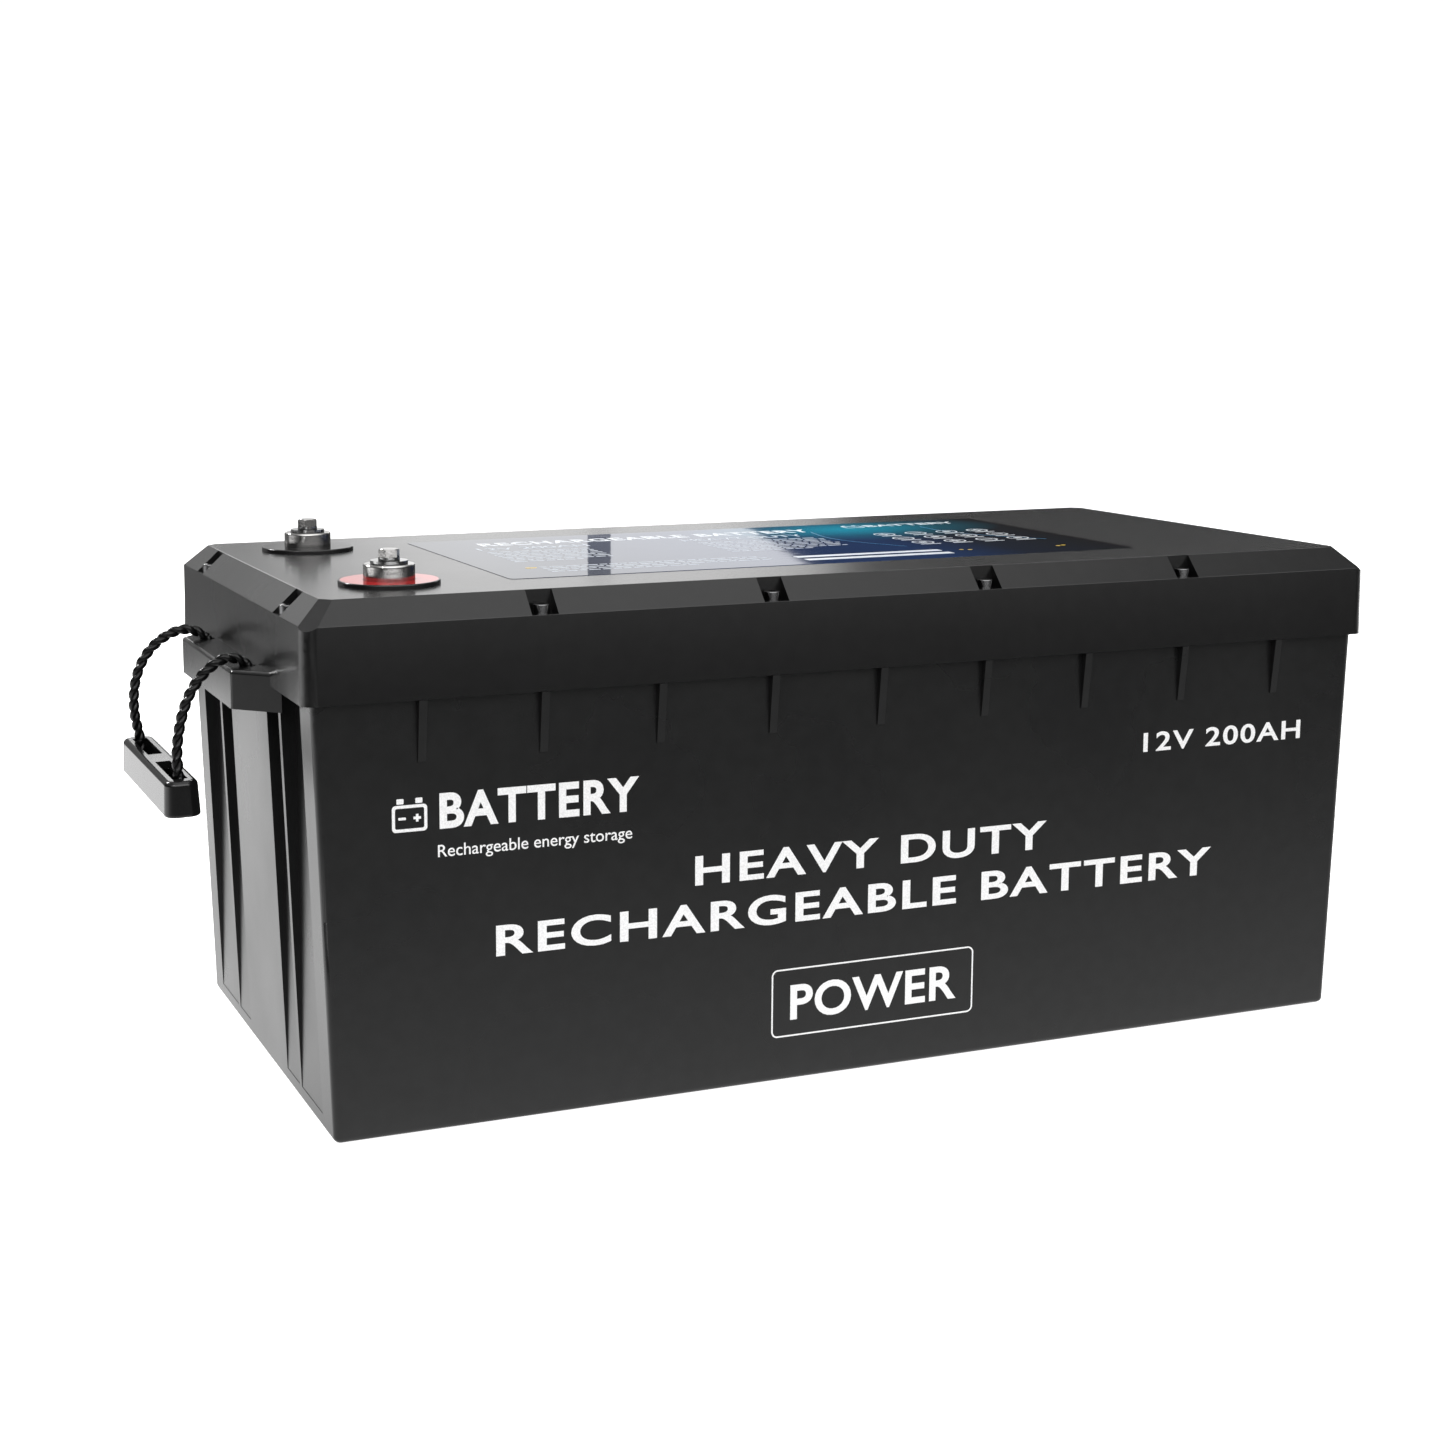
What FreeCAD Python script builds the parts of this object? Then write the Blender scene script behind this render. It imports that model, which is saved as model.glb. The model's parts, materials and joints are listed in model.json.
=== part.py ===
"""Deep cycle battery: a lidded case with rope handles, bolt-down terminals and a four-cell pack inside.

Millimetres. +X runs along the battery, -Y is its front, +Z is up.
The origin is the middle of the underside.
"""
import FreeCAD
import Part
import math
import os

from FreeCAD import Vector

# ---------------------------------------------------------------- driving dimensions
LENGTH = 522.0  # over the lid
WIDTH = 240.0  # over the lid
LID_TOP = 225.0  # height of the lid's flat face
SKIRT_BOTTOM = 183.5  # lower edge of the lid's skirt
SKIRT_WALL = 2.6
CLEARANCE = 0.2  # between moulded parts that slip together

# lid
CHAMFER_HEIGHT = 9.7  # of the chamfer round the lid's top
CHAMFER_RUN_END = 10.5
CHAMFER_RUN_SIDE = 9.0
LID_DRAFT_END = 0.2
LID_DRAFT_SIDE = 0.4
LID_CORNER_RADIUS = 6.0
LID_TOP_EDGE_RADIUS = 0.8  # round the lid's flat face
LID_LOW_EDGE_RADIUS = 0.5  # where the chamfer meets the upright walls
FACET_TOP = 4.5  # how far the flat corner facet cuts back the roof's corner
FACET_SET_BACK = 0.4  # from the corner radius to the facet's lower corners
ROOF_THICKNESS = 4.0
SEAT_Z = 211.0  # the ring under the lid that presses on the gasket
SEAT_INSET = 11.5  # from the lid's outline to the ring's inner edge

# case
CASE_BOTTOM_LENGTH = 500.0
CASE_BOTTOM_WIDTH = 231.0
CASE_TOP_LENGTH = 513.6
CASE_TOP_WIDTH = 232.4
COLLAR_BOTTOM = 186.0  # above this the case is a straight collar inside the skirt
GASKET_THICKNESS = 2.0
CASE_WALL = 3.5
CASE_FLOOR = 4.0
CASE_CORNER_RADIUS = 3.3
CASE_BOTTOM_RADIUS = 2.5

# gussets under the skirt on each long side
GUSSET_COUNT = 9
GUSSET_SPACING = 52.8
GUSSET_WIDTH = 3.5
GUSSET_DROP = 26.0

# wedge recesses in each end wall: distances from the middle to the near and far side
RECESSES = ((36.0, 57.8), (61.6, 96.5))
RECESS_DEPTH = 7.4  # at the top, running out to nothing at the bottom
RECESS_BOTTOM = 7.0
RECESS_BACKING = 3.2

# lid screws, M4 socket cap
NOTCH_WIDTH = 11.7
SIDE_NOTCHES = (-158.4, -52.8, 52.8, 158.4)  # along each long side
END_NOTCHES = (-76.0, 76.0)  # along each end
SCREW_RADIUS = 2.0
SCREW_HEAD_RADIUS = 3.5
SCREW_HEAD_HEIGHT = 4.0
SCREW_LENGTH = 16.0
SCREW_SOCKET_FLATS = 3.0
SCREW_SOCKET_DEPTH = 2.2

# terminals
TERMINAL_X = -210.0
TERMINAL_Y = 69.0
TERMINAL_COLLAR_RADIUS = 21.75
TERMINAL_COLLAR_HEIGHT = 1.8
POLARITY_RING_RADIUS = 20.8
POLARITY_RING_THICKNESS = 0.25
POST_RADIUS = 11.0
POST_HEIGHT = 6.7
STEM_RADIUS = 8.0
STEM_BOTTOM = 212.0
FLAT_WASHER_RADIUS = 8.0
FLAT_WASHER_THICKNESS = 1.4
SPRING_WASHER_RADIUS = 4.6
SPRING_WASHER_THICKNESS = 1.3
BOLT_RADIUS = 2.5  # M5
BOLT_FLATS = 8.0
BOLT_HEAD_HEIGHT = 3.5
BOLT_SHANK = 16.0
THREAD_CLEARANCE = 0.05

# handles: a rope loop through two holes in a ledge on each end of the lid
ROPE_RADIUS = 2.35
ROPE_HOLE_CLEARANCE = 0.4
ROPE_Y = 41.0  # each leg's distance from the middle
LEDGE_OUT = 13.8  # beyond the lid's end wall
LEDGE_TOP = 189.0
LEDGE_BOTTOM = 172.5
LEDGE_OUTER_HALF = 51.0  # half length of its outer face
LEDGE_WALL = 3.0
LEDGE_EDGE_RADIUS = 1.5
GRIP_X = -296.5
GRIP_BOTTOM = 128.0
GRIP_HEIGHT = 15.5
GRIP_HALF_LENGTH = 54.5
GRIP_BOTTOM_WIDTH = 15.6
GRIP_TOP_WIDTH = 14.1
GRIP_CORNER_RADIUS = 5.5
GRIP_TOP_RADIUS = 2.2
GRIP_BOTTOM_RADIUS = 1.2
GRIP_SLOT_WIDTH = 6.5
GRIP_SLOT_FROM = 8.5
GRIP_SLOT_TO = 47.6
GRIP_TILT = -1.2  # degrees about +Y, as it hangs from its ropes
GRIP_ROPE_Y = 44.5  # where each leg enters the grip, from the middle
GRIP_ROPE_Z = 134.6
GRIP_ROPE_BEND = 6.9
KNOT_RADIUS = 4.9

# label on the lid
LABEL_LENGTH = 317.0
LABEL_WIDTH = 154.0
LABEL_THICKNESS = 0.15

# cell pack
CELL_COUNT = 4
CELL_THICKNESS = 54.0
CELL_WIDTH = 174.0
CELL_HEIGHT = 200.0
CAN_WALL = 1.0
SHEET = 1.0  # insulation between cells and down their sides
PACK_X = 20.0  # centre of the pack
BASE_PAD = 4.0
END_PLATE = 4.0
STRAP_THICKNESS = 0.8
STRAP_WIDTH = 16.0
STRAP_HEIGHTS = (60.0, 150.0)
STUD_Y = 50.0
PAD_RADIUS = 10.0
PAD_HEIGHT = 3.5
STUD_RADIUS = 3.0
STUD_HEIGHT = 11.5
BUSBAR_WIDTH = 20.0
BUSBAR_THICKNESS = 2.0
NUT_FLATS = 10.0
NUT_HEIGHT = 5.0
CABLE_RADIUS = 4.0
LEAD_RADIUS = 0.8

# battery management board, on the left foam block
BOARD_X = (-232.0, -108.0)
BOARD_Y = (-55.0, 55.0)
BOARD_Z = 150.0
BOARD_THICKNESS = 1.6
HEAT_SINK_THICKNESS = 4.0

# ---------------------------------------------------------------- derived levels
HALF_X = LENGTH / 2
HALF_Y = WIDTH / 2
CHAMFER_Z = LID_TOP - CHAMFER_HEIGHT
ROOF_UNDERSIDE = LID_TOP - ROOF_THICKNESS
CASE_TOP = SEAT_Z - GASKET_THICKNESS
COLLAR_HALF_X = HALF_X - SKIRT_WALL - CLEARANCE
COLLAR_HALF_Y = HALF_Y - SKIRT_WALL - CLEARANCE
CAVITY_HALF_X = CASE_TOP_LENGTH / 2 - CASE_WALL
CAVITY_HALF_Y = CASE_TOP_WIDTH / 2 - CASE_WALL
RIM_TOP_X = HALF_X - LID_DRAFT_END - CHAMFER_RUN_END
RIM_TOP_Y = HALF_Y - LID_DRAFT_SIDE - CHAMFER_RUN_SIDE
SCREW_X = (COLLAR_HALF_X + CAVITY_HALF_X) / 2
SCREW_Y = RIM_TOP_Y + SCREW_HEAD_RADIUS + CLEARANCE
PACK_BOTTOM = CASE_FLOOR + BASE_PAD
CELL_TOP = PACK_BOTTOM + CELL_HEIGHT
CELL_PITCH = CELL_THICKNESS + SHEET
PACK_HALF_X = CELL_COUNT * CELL_PITCH / 2 + SHEET / 2
BUSBAR_Z = CELL_TOP + PAD_HEIGHT
POST_BOTTOM = LID_TOP + TERMINAL_COLLAR_HEIGHT
POST_TOP = POST_BOTTOM + POST_HEIGHT
WASHER_TOP = POST_TOP + FLAT_WASHER_THICKNESS
HEAD_BOTTOM = WASHER_TOP + SPRING_WASHER_THICKNESS
ROPE_MOUTH = (-265.5, 189.4)  # x and z where a leg leaves its hole in the left ledge
GRIP_TOP = GRIP_BOTTOM + GRIP_HEIGHT

# The left handle's two legs hang from the ledge to the grip. Points are x, y, z.
ROPE_REAR = (
    (-265.5, 41.0, 189.4),
    (-268.7, 41.1, 192.2),
    (-272.8, 41.3, 193.8),
    (-277.4, 41.5, 193.9),
    (-282.2, 41.7, 192.3),
    (-287.4, 41.9, 189.3),
    (-292.2, 41.9, 184.7),
    (-296.0, 41.8, 178.9),
    (-298.6, 41.5, 171.6),
    (-299.7, 41.2, 163.6),
    (-299.4, 41.9, 155.8),
    (-297.8, 43.6, 149.1),
    (-296.5, 44.5, 143.5),
)
ROPE_FRONT = (
    (-265.5, -41.0, 189.4),
    (-268.2, -41.1, 191.7),
    (-271.7, -41.3, 193.0),
    (-275.6, -41.5, 192.7),
    (-279.9, -41.6, 190.4),
    (-284.4, -41.7, 186.7),
    (-288.6, -41.7, 181.6),
    (-291.8, -41.5, 175.3),
    (-294.1, -41.3, 168.2),
    (-295.6, -41.1, 160.8),
    (-296.4, -41.6, 154.0),
    (-296.6, -43.3, 148.5),
    (-296.5, -44.5, 143.5),
)
# Inside the ledge each rope end rises from its knot and leans out towards the mouth.
ROPE_STUB = ((-261.9, 177.5), (-261.7, 182.0), (-262.7, 186.0), ROPE_MOUTH)


# ---------------------------------------------------------------- helpers
def block(x0, x1, y0, y1, z0, z1):
    return Part.makeBox(x1 - x0, y1 - y0, z1 - z0, Vector(x0, y0, z0))


def centred_block(half_x, half_y, z0, z1):
    return block(-half_x, half_x, -half_y, half_y, z0, z1)


def cylinder(radius, x, y, z0, z1):
    return Part.makeCylinder(radius, z1 - z0, Vector(x, y, z0))


def ring(outer, inner, x, y, z0, z1):
    return cylinder(outer, x, y, z0, z1).cut(cylinder(inner, x, y, z0 - 1, z1 + 1))


def hexagon(flats, x, y, z0, z1):
    corner = flats / math.sqrt(3)
    points = []
    for i in range(7):
        angle = math.radians(60 * i)
        points.append(Vector(x + corner * math.cos(angle), y + corner * math.sin(angle), z0))
    return Part.Face(Part.makePolygon(points)).extrude(Vector(0, 0, z1 - z0))


def prism(points, sweep):
    """A solid swept from the closed outline through points along the vector sweep."""
    outline = [Vector(*p) for p in points]
    return Part.Face(Part.makePolygon(outline + outline[:1])).extrude(Vector(*sweep))


def tapered_block(half_x0, half_y0, z0, half_x1, half_y1, z1):
    wires = []
    for half_x, half_y, z in ((half_x0, half_y0, z0), (half_x1, half_y1, z1)):
        corners = ((-half_x, -half_y), (half_x, -half_y), (half_x, half_y), (-half_x, half_y))
        points = [Vector(x, y, z) for x, y in corners]
        wires.append(Part.makePolygon(points + points[:1]))
    return Part.makeLoft(wires, True, True)


def rounded_block(half_x, half_y, z0, z1, radius):
    solid = centred_block(half_x, half_y, z0, z1)
    return solid.makeFillet(radius, upright_edges(solid))


def upright_edges(solid):
    found = []
    for edge in solid.Edges:
        a, b = edge.Vertexes[0].Point, edge.Vertexes[-1].Point
        if abs(a.z - b.z) > 0.6 * (a - b).Length:
            found.append(edge)
    return found


def edges_at(solid, z):
    found = []
    for edge in solid.Edges:
        if all(abs(v.Point.z - z) < 0.01 for v in edge.Vertexes):
            found.append(edge)
    return found


def fuse_all(shapes):
    return shapes[0].multiFuse(shapes[1:]).removeSplitter() if len(shapes) > 1 else shapes[0]


def mirror_x(shape):
    return shape.mirror(Vector(0, 0, 0), Vector(1, 0, 0))


def mirror_y(shape):
    return shape.mirror(Vector(0, 0, 0), Vector(0, 1, 0))


def both_ends(shape):
    return [shape, mirror_x(shape)]


def all_round(shape):
    """The shape and its mirror images across both upright planes."""
    pair = both_ends(shape)
    return pair + [mirror_y(s) for s in pair]


def route(points):
    """Straight runs joined by tangent arcs, each arc as large as its two runs allow."""
    path = [Vector(*p) for p in points]
    edges = []
    radii = []
    start = path[0]
    for before, corner, after in zip(path, path[1:], path[2:]):
        back = before - corner
        ahead = after - corner
        half_turn = (math.pi - back.getAngle(ahead)) / 2
        setback = 0.45 * min(back.Length, ahead.Length)
        radius = setback / math.tan(half_turn)
        back.normalize()
        ahead.normalize()
        first = corner + back * setback
        last = corner + ahead * setback
        bisector = back + ahead
        bisector.normalize()
        centre = corner + bisector * (radius / math.cos(half_turn))
        middle = centre - bisector * radius
        edges.append(Part.LineSegment(start, first).toShape())
        edges.append(Part.Arc(first, middle, last).toShape())
        radii.append(radius)
        start = last
    edges.append(Part.LineSegment(start, path[-1]).toShape())
    return Part.Wire(edges), radii


def tube(points, radius, label=None):
    """A round tube along a route. It prints its length and radii when it has a label."""
    wire, radii = route(points)
    first = Vector(*points[0])
    along = Vector(*points[1]) - first
    profile = Part.Wire(Part.makeCircle(radius, first, along))
    solid = wire.makePipeShell([profile], True, False)
    if label:
        expected = math.pi * radius * radius * wire.Length
        print(
            f"{label}: length {wire.Length:.1f}, radii {min(radii):.1f} to {max(radii):.1f}, "
            f"volume ratio {solid.Volume / expected:.4f}"
        )
    return solid


def save(name, *solids):
    found = [s for shape in solids for s in shape.Solids]
    for solid in found:
        if not solid.isValid():
            print("invalid solid in", name)
    shape = found[0] if len(found) == 1 else Part.makeCompound(found)
    shape.exportStep(f"parts/{name}.step")


# ---------------------------------------------------------------- case
def screw_places():
    places = [(x, side * SCREW_Y) for x in SIDE_NOTCHES for side in (-1, 1)]
    return places + [(side * SCREW_X, y) for y in END_NOTCHES for side in (-1, 1)]


def case_cavity():
    draft_x = (CASE_TOP_LENGTH - CASE_BOTTOM_LENGTH) / 2
    draft_y = (CASE_TOP_WIDTH - CASE_BOTTOM_WIDTH) / 2
    lower = tapered_block(
        CAVITY_HALF_X - draft_x,
        CAVITY_HALF_Y - draft_y,
        CASE_FLOOR,
        CAVITY_HALF_X,
        CAVITY_HALF_Y,
        COLLAR_BOTTOM,
    )
    upper = centred_block(CAVITY_HALF_X, CAVITY_HALF_Y, COLLAR_BOTTOM, CASE_TOP + 1)
    inner = CASE_TOP_LENGTH / 2 - RECESS_DEPTH - RECESS_BACKING
    near = RECESSES[0][0] - RECESS_BACKING
    far = RECESSES[1][1] + RECESS_BACKING
    backing = block(-HALF_X, -inner, near, far, 0, COLLAR_BOTTOM)
    return lower.fuse(upper).cut(Part.makeCompound(all_round(backing)))


def recess_cutters():
    """Wedges that cut each end wall, deepest at the top."""
    top_x = -(CASE_TOP_LENGTH / 2 - RECESS_DEPTH)
    bottom_x = -(CASE_BOTTOM_LENGTH / 2 + 0.1)
    cutters = []
    for near, far in RECESSES:
        outline = (
            (-HALF_X, near, RECESS_BOTTOM),
            (bottom_x, near, RECESS_BOTTOM),
            (top_x, near, SKIRT_BOTTOM),
            (-HALF_X, near, SKIRT_BOTTOM),
        )
        cutters += all_round(prism(outline, (0, far - near, 0)))
    return cutters


def gussets():
    wall = CASE_TOP_WIDTH / 2
    bottom = SKIRT_BOTTOM - GUSSET_DROP
    top = SKIRT_BOTTOM - CLEARANCE
    outline = (
        (-GUSSET_WIDTH / 2, -wall + 1, bottom),
        (-GUSSET_WIDTH / 2, -wall - 0.5, bottom),
        (-GUSSET_WIDTH / 2, -HALF_Y + 0.3, top),
        (-GUSSET_WIDTH / 2, -wall + 1, top),
    )
    gusset = prism(outline, (GUSSET_WIDTH, 0, 0))
    made = []
    for i in range(GUSSET_COUNT):
        moved = gusset.copy()
        moved.translate(Vector((i - (GUSSET_COUNT - 1) / 2) * GUSSET_SPACING, 0, 0))
        made += [moved, mirror_y(moved)]
    return made


def make_case():
    lower = tapered_block(
        CASE_BOTTOM_LENGTH / 2,
        CASE_BOTTOM_WIDTH / 2,
        0,
        CASE_TOP_LENGTH / 2,
        CASE_TOP_WIDTH / 2,
        COLLAR_BOTTOM,
    )
    lower = lower.makeFillet(CASE_CORNER_RADIUS, upright_edges(lower))
    lower = lower.makeFillet(CASE_BOTTOM_RADIUS, edges_at(lower, 0))
    collar_radius = LID_CORNER_RADIUS - SKIRT_WALL
    collar = rounded_block(COLLAR_HALF_X, COLLAR_HALF_Y, COLLAR_BOTTOM, CASE_TOP, collar_radius)
    outer = fuse_all([lower, collar] + gussets())
    screw_bottom = CHAMFER_Z - SCREW_LENGTH - 1
    holes = [cylinder(SCREW_RADIUS, x, y, screw_bottom, CASE_TOP + 1) for x, y in screw_places()]
    save("case", outer.cut(Part.makeCompound([case_cavity()] + recess_cutters() + holes)))


# ---------------------------------------------------------------- lid
def lid_outside():
    skirt = tapered_block(
        HALF_X,
        HALF_Y,
        SKIRT_BOTTOM,
        HALF_X - LID_DRAFT_END,
        HALF_Y - LID_DRAFT_SIDE,
        CHAMFER_Z,
    )
    skirt = skirt.makeFillet(LID_CORNER_RADIUS, upright_edges(skirt))
    rim = tapered_block(
        HALF_X - LID_DRAFT_END,
        HALF_Y - LID_DRAFT_SIDE,
        CHAMFER_Z,
        RIM_TOP_X,
        RIM_TOP_Y,
        LID_TOP,
    )
    whole = skirt.fuse(rim).cut(Part.makeCompound(all_round(corner_cutter())))
    lower_edges = [e for e in edges_at(whole, CHAMFER_Z) if e.Length > WIDTH / 2]
    whole = whole.makeFillet(LID_LOW_EDGE_RADIUS, lower_edges)
    return whole.makeFillet(LID_TOP_EDGE_RADIUS, edges_at(whole, LID_TOP))


def corner_cutter():
    """Wedge that cuts one corner of the rim to a flat facet, from the corner radius up to the roof."""
    low_x = -(HALF_X - LID_DRAFT_END)
    low_y = -(HALF_Y - LID_DRAFT_SIDE)
    first = Vector(low_x, low_y + LID_CORNER_RADIUS + FACET_SET_BACK, CHAMFER_Z)
    second = Vector(low_x + LID_CORNER_RADIUS + FACET_SET_BACK, low_y, CHAMFER_Z)
    third = Vector(-RIM_TOP_X + FACET_TOP, -RIM_TOP_Y, LID_TOP)
    across = second - first
    upward = (third - second).dot(across.normalize()) * across
    slope = third - second - upward
    outward = slope.cross(across)
    outward.normalize()
    middle = (first + second) * 0.5
    reach = across * 30
    bottom = middle - slope * 0.5
    top = middle + slope * 1.5
    corners = (bottom - reach, bottom + reach, top + reach, top - reach)
    sign = 1 if outward.z > 0 else -1
    face = Part.Face(Part.makePolygon(list(corners) + [corners[0]]))
    return face.extrude(outward * (30 * sign))


def ledge():
    """The left ledge: a block with slanted ends, hollow from below, with two rope holes."""
    inner_x = -(CASE_TOP_LENGTH / 2 + 0.4)
    outer_x = -(HALF_X + LEDGE_OUT)
    slant = inner_x - outer_x
    half = LEDGE_OUTER_HALF
    outline = ((outer_x, -half), (inner_x, -half - slant), (inner_x, half + slant), (outer_x, half))
    solid = prism([(x, y, LEDGE_BOTTOM) for x, y in outline], (0, 0, LEDGE_TOP - LEDGE_BOTTOM))
    outer_corners = [e for e in upright_edges(solid) if e.CenterOfMass.x < inner_x - 1]
    solid = solid.makeFillet(2.5, outer_corners)
    top_edges = [e for e in edges_at(solid, LEDGE_TOP) if e.CenterOfMass.x < inner_x - 1]
    solid = solid.makeFillet(LEDGE_EDGE_RADIUS, top_edges)
    wall = LEDGE_WALL
    pocket_outline = (
        (outer_x + wall, -half + wall / 2),
        (inner_x + 1, -half - slant + 2 * wall),
        (inner_x + 1, half + slant - 2 * wall),
        (outer_x + wall, half - wall / 2),
    )
    pocket_top = SKIRT_BOTTOM - 0.5
    pocket = prism(
        [(x, y, LEDGE_BOTTOM - 1) for x, y in pocket_outline],
        (0, 0, pocket_top - LEDGE_BOTTOM + 1),
    )
    for y in (-15.0, 15.0):
        pocket = pocket.cut(block(outer_x, 0, y - 1, y + 1, 0, LID_TOP))
    return solid.cut(pocket)


def ledge_hole(side):
    """Cutter for one rope hole. It follows the rope's lean and runs out past the mouth."""
    stub = [(x, side * ROPE_Y, z) for x, z in ROPE_STUB]
    along = Vector(*stub[-1]) - Vector(*stub[-2])
    along.normalize()
    past = Vector(*stub[-1]) + along * 4
    return tube(stub + [(past.x, past.y, past.z + 0.3)], ROPE_RADIUS + ROPE_HOLE_CLEARANCE)


def notch_cutters():
    made = []
    half = NOTCH_WIDTH / 2
    for x in SIDE_NOTCHES:
        cutter = block(x - half, x + half, RIM_TOP_Y, HALF_Y + 5, CHAMFER_Z, LID_TOP + 5)
        made += [cutter, mirror_y(cutter)]
    for y in END_NOTCHES:
        cutter = block(RIM_TOP_X, HALF_X + 5, y - half, y + half, CHAMFER_Z, LID_TOP + 5)
        made += [cutter, mirror_x(cutter)]
    return made


def make_lid():
    outer = lid_outside()
    skirt_space = rounded_block(
        HALF_X - SKIRT_WALL,
        HALF_Y - SKIRT_WALL,
        SKIRT_BOTTOM - 1,
        SEAT_Z,
        LID_CORNER_RADIUS - SKIRT_WALL,
    )
    roof_space = centred_block(HALF_X - SEAT_INSET, HALF_Y - SEAT_INSET, SEAT_Z - 1, ROOF_UNDERSIDE)
    screw_holes = []
    for x, y in screw_places():
        screw_holes.append(cylinder(SCREW_RADIUS + 0.2, x, y, SEAT_Z - 1, CHAMFER_Z + 1))
    stem_holes = []
    for side in (-1, 1):
        y = side * TERMINAL_Y
        stem_holes.append(cylinder(STEM_RADIUS + CLEARANCE, TERMINAL_X, y, ROOF_UNDERSIDE - 1, LID_TOP + 1))
    cutters = [skirt_space, roof_space] + notch_cutters() + screw_holes + stem_holes
    shell = outer.cut(Part.makeCompound(cutters))
    ledges = both_ends(ledge())
    rope_holes = both_ends(ledge_hole(-1)) + both_ends(ledge_hole(1))
    shell = fuse_all([shell] + ledges).cut(Part.makeCompound([skirt_space] + rope_holes))
    save("lid", shell)


def make_lid_gasket():
    outer = rounded_block(COLLAR_HALF_X - 0.3, COLLAR_HALF_Y - 0.3, CASE_TOP, SEAT_Z, 4)
    inner = centred_block(CAVITY_HALF_X + 0.3, CAVITY_HALF_Y + 0.3, CASE_TOP - 1, SEAT_Z + 1)
    holes = [cylinder(SCREW_RADIUS + 0.2, x, y, CASE_TOP - 1, SEAT_Z + 1) for x, y in screw_places()]
    save("lid_gasket", outer.cut(Part.makeCompound([inner] + holes)))


def make_lid_screws():
    made = []
    for x, y in screw_places():
        head = cylinder(SCREW_HEAD_RADIUS, x, y, CHAMFER_Z, CHAMFER_Z + SCREW_HEAD_HEIGHT)
        head = head.makeFillet(0.4, edges_at(head, CHAMFER_Z + SCREW_HEAD_HEIGHT))
        socket_bottom = CHAMFER_Z + SCREW_HEAD_HEIGHT - SCREW_SOCKET_DEPTH
        head = head.cut(hexagon(SCREW_SOCKET_FLATS, x, y, socket_bottom, LID_TOP))
        shank = cylinder(SCREW_RADIUS, x, y, CHAMFER_Z - SCREW_LENGTH, CHAMFER_Z)
        made.append(head.fuse(shank))
    save("lid_screws", *made)


def make_top_label():
    half_x = LABEL_LENGTH / 2
    half_y = LABEL_WIDTH / 2
    save("top_label", rounded_block(half_x, half_y, LID_TOP, LID_TOP + LABEL_THICKNESS, 3))


# ---------------------------------------------------------------- terminals
def make_terminal_collar(name, y):
    body = cylinder(TERMINAL_COLLAR_RADIUS, TERMINAL_X, y, LID_TOP, POST_BOTTOM)
    body = body.makeFillet(0.6, edges_at(body, POST_BOTTOM))
    hole = cylinder(STEM_RADIUS + CLEARANCE, TERMINAL_X, y, LID_TOP - 1, POST_BOTTOM + 1)
    groove = ring(10.4, 9.0, TERMINAL_X, y, POST_BOTTOM - 1.0, POST_BOTTOM + 1)
    body = body.cut(hole).cut(groove)
    save(name, body.cut(polarity_ring()) if y < 0 else body)


def make_post(name, y):
    head = cylinder(POST_RADIUS, TERMINAL_X, y, POST_BOTTOM, POST_TOP)
    head = head.makeFillet(0.8, edges_at(head, POST_TOP))
    stem = cylinder(STEM_RADIUS, TERMINAL_X, y, STEM_BOTTOM, POST_BOTTOM)
    hole_bottom = HEAD_BOTTOM - BOLT_SHANK - 0.6
    bolt_hole = cylinder(BOLT_RADIUS + THREAD_CLEARANCE, TERMINAL_X, y, hole_bottom, POST_TOP + 1)
    lug_hole = cylinder(STUD_RADIUS, TERMINAL_X, y, STEM_BOTTOM - 1, STEM_BOTTOM + 6)
    save(name, head.fuse(stem).cut(bolt_hole).cut(lug_hole))


def make_post_seals():
    rings = []
    for side in (-1, 1):
        seal = ring(10.3, 9.1, TERMINAL_X, side * TERMINAL_Y, POST_BOTTOM - 0.9, POST_BOTTOM)
        rings.append(seal)
    save("post_seals", *rings)


def make_post_nuts():
    nuts = []
    for side in (-1, 1):
        y = side * TERMINAL_Y
        nut = hexagon(24.0, TERMINAL_X, y, ROOF_UNDERSIDE - 6, ROOF_UNDERSIDE)
        nuts.append(nut.cut(cylinder(STEM_RADIUS, TERMINAL_X, y, STEM_BOTTOM, LID_TOP)))
    save("post_nuts", *nuts)


def make_post_lug_bolts():
    made = []
    for side in (-1, 1):
        y = side * TERMINAL_Y
        lug_bottom = STEM_BOTTOM - BUSBAR_THICKNESS
        head = hexagon(NUT_FLATS, TERMINAL_X, y, lug_bottom - 4, lug_bottom)
        made.append(head.fuse(cylinder(STUD_RADIUS, TERMINAL_X, y, lug_bottom, STEM_BOTTOM + 5.5)))
    save("post_lug_bolts", *made)


def polarity_ring():
    bottom = POST_BOTTOM - POLARITY_RING_THICKNESS
    return ring(POLARITY_RING_RADIUS, POST_RADIUS + 0.3, TERMINAL_X, -TERMINAL_Y, bottom, POST_BOTTOM)


def make_washers(sign, y):
    hole = BOLT_RADIUS + CLEARANCE
    flat = ring(FLAT_WASHER_RADIUS, hole, TERMINAL_X, y, POST_TOP, WASHER_TOP)
    save(f"{sign}_flat_washer", flat)
    spring = ring(SPRING_WASHER_RADIUS, hole, TERMINAL_X, y, WASHER_TOP, HEAD_BOTTOM)
    split = block(TERMINAL_X, TERMINAL_X + 10, y - 0.4, y + 0.4, WASHER_TOP - 1, HEAD_BOTTOM + 1)
    save(f"{sign}_spring_washer", spring.cut(split))


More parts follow.
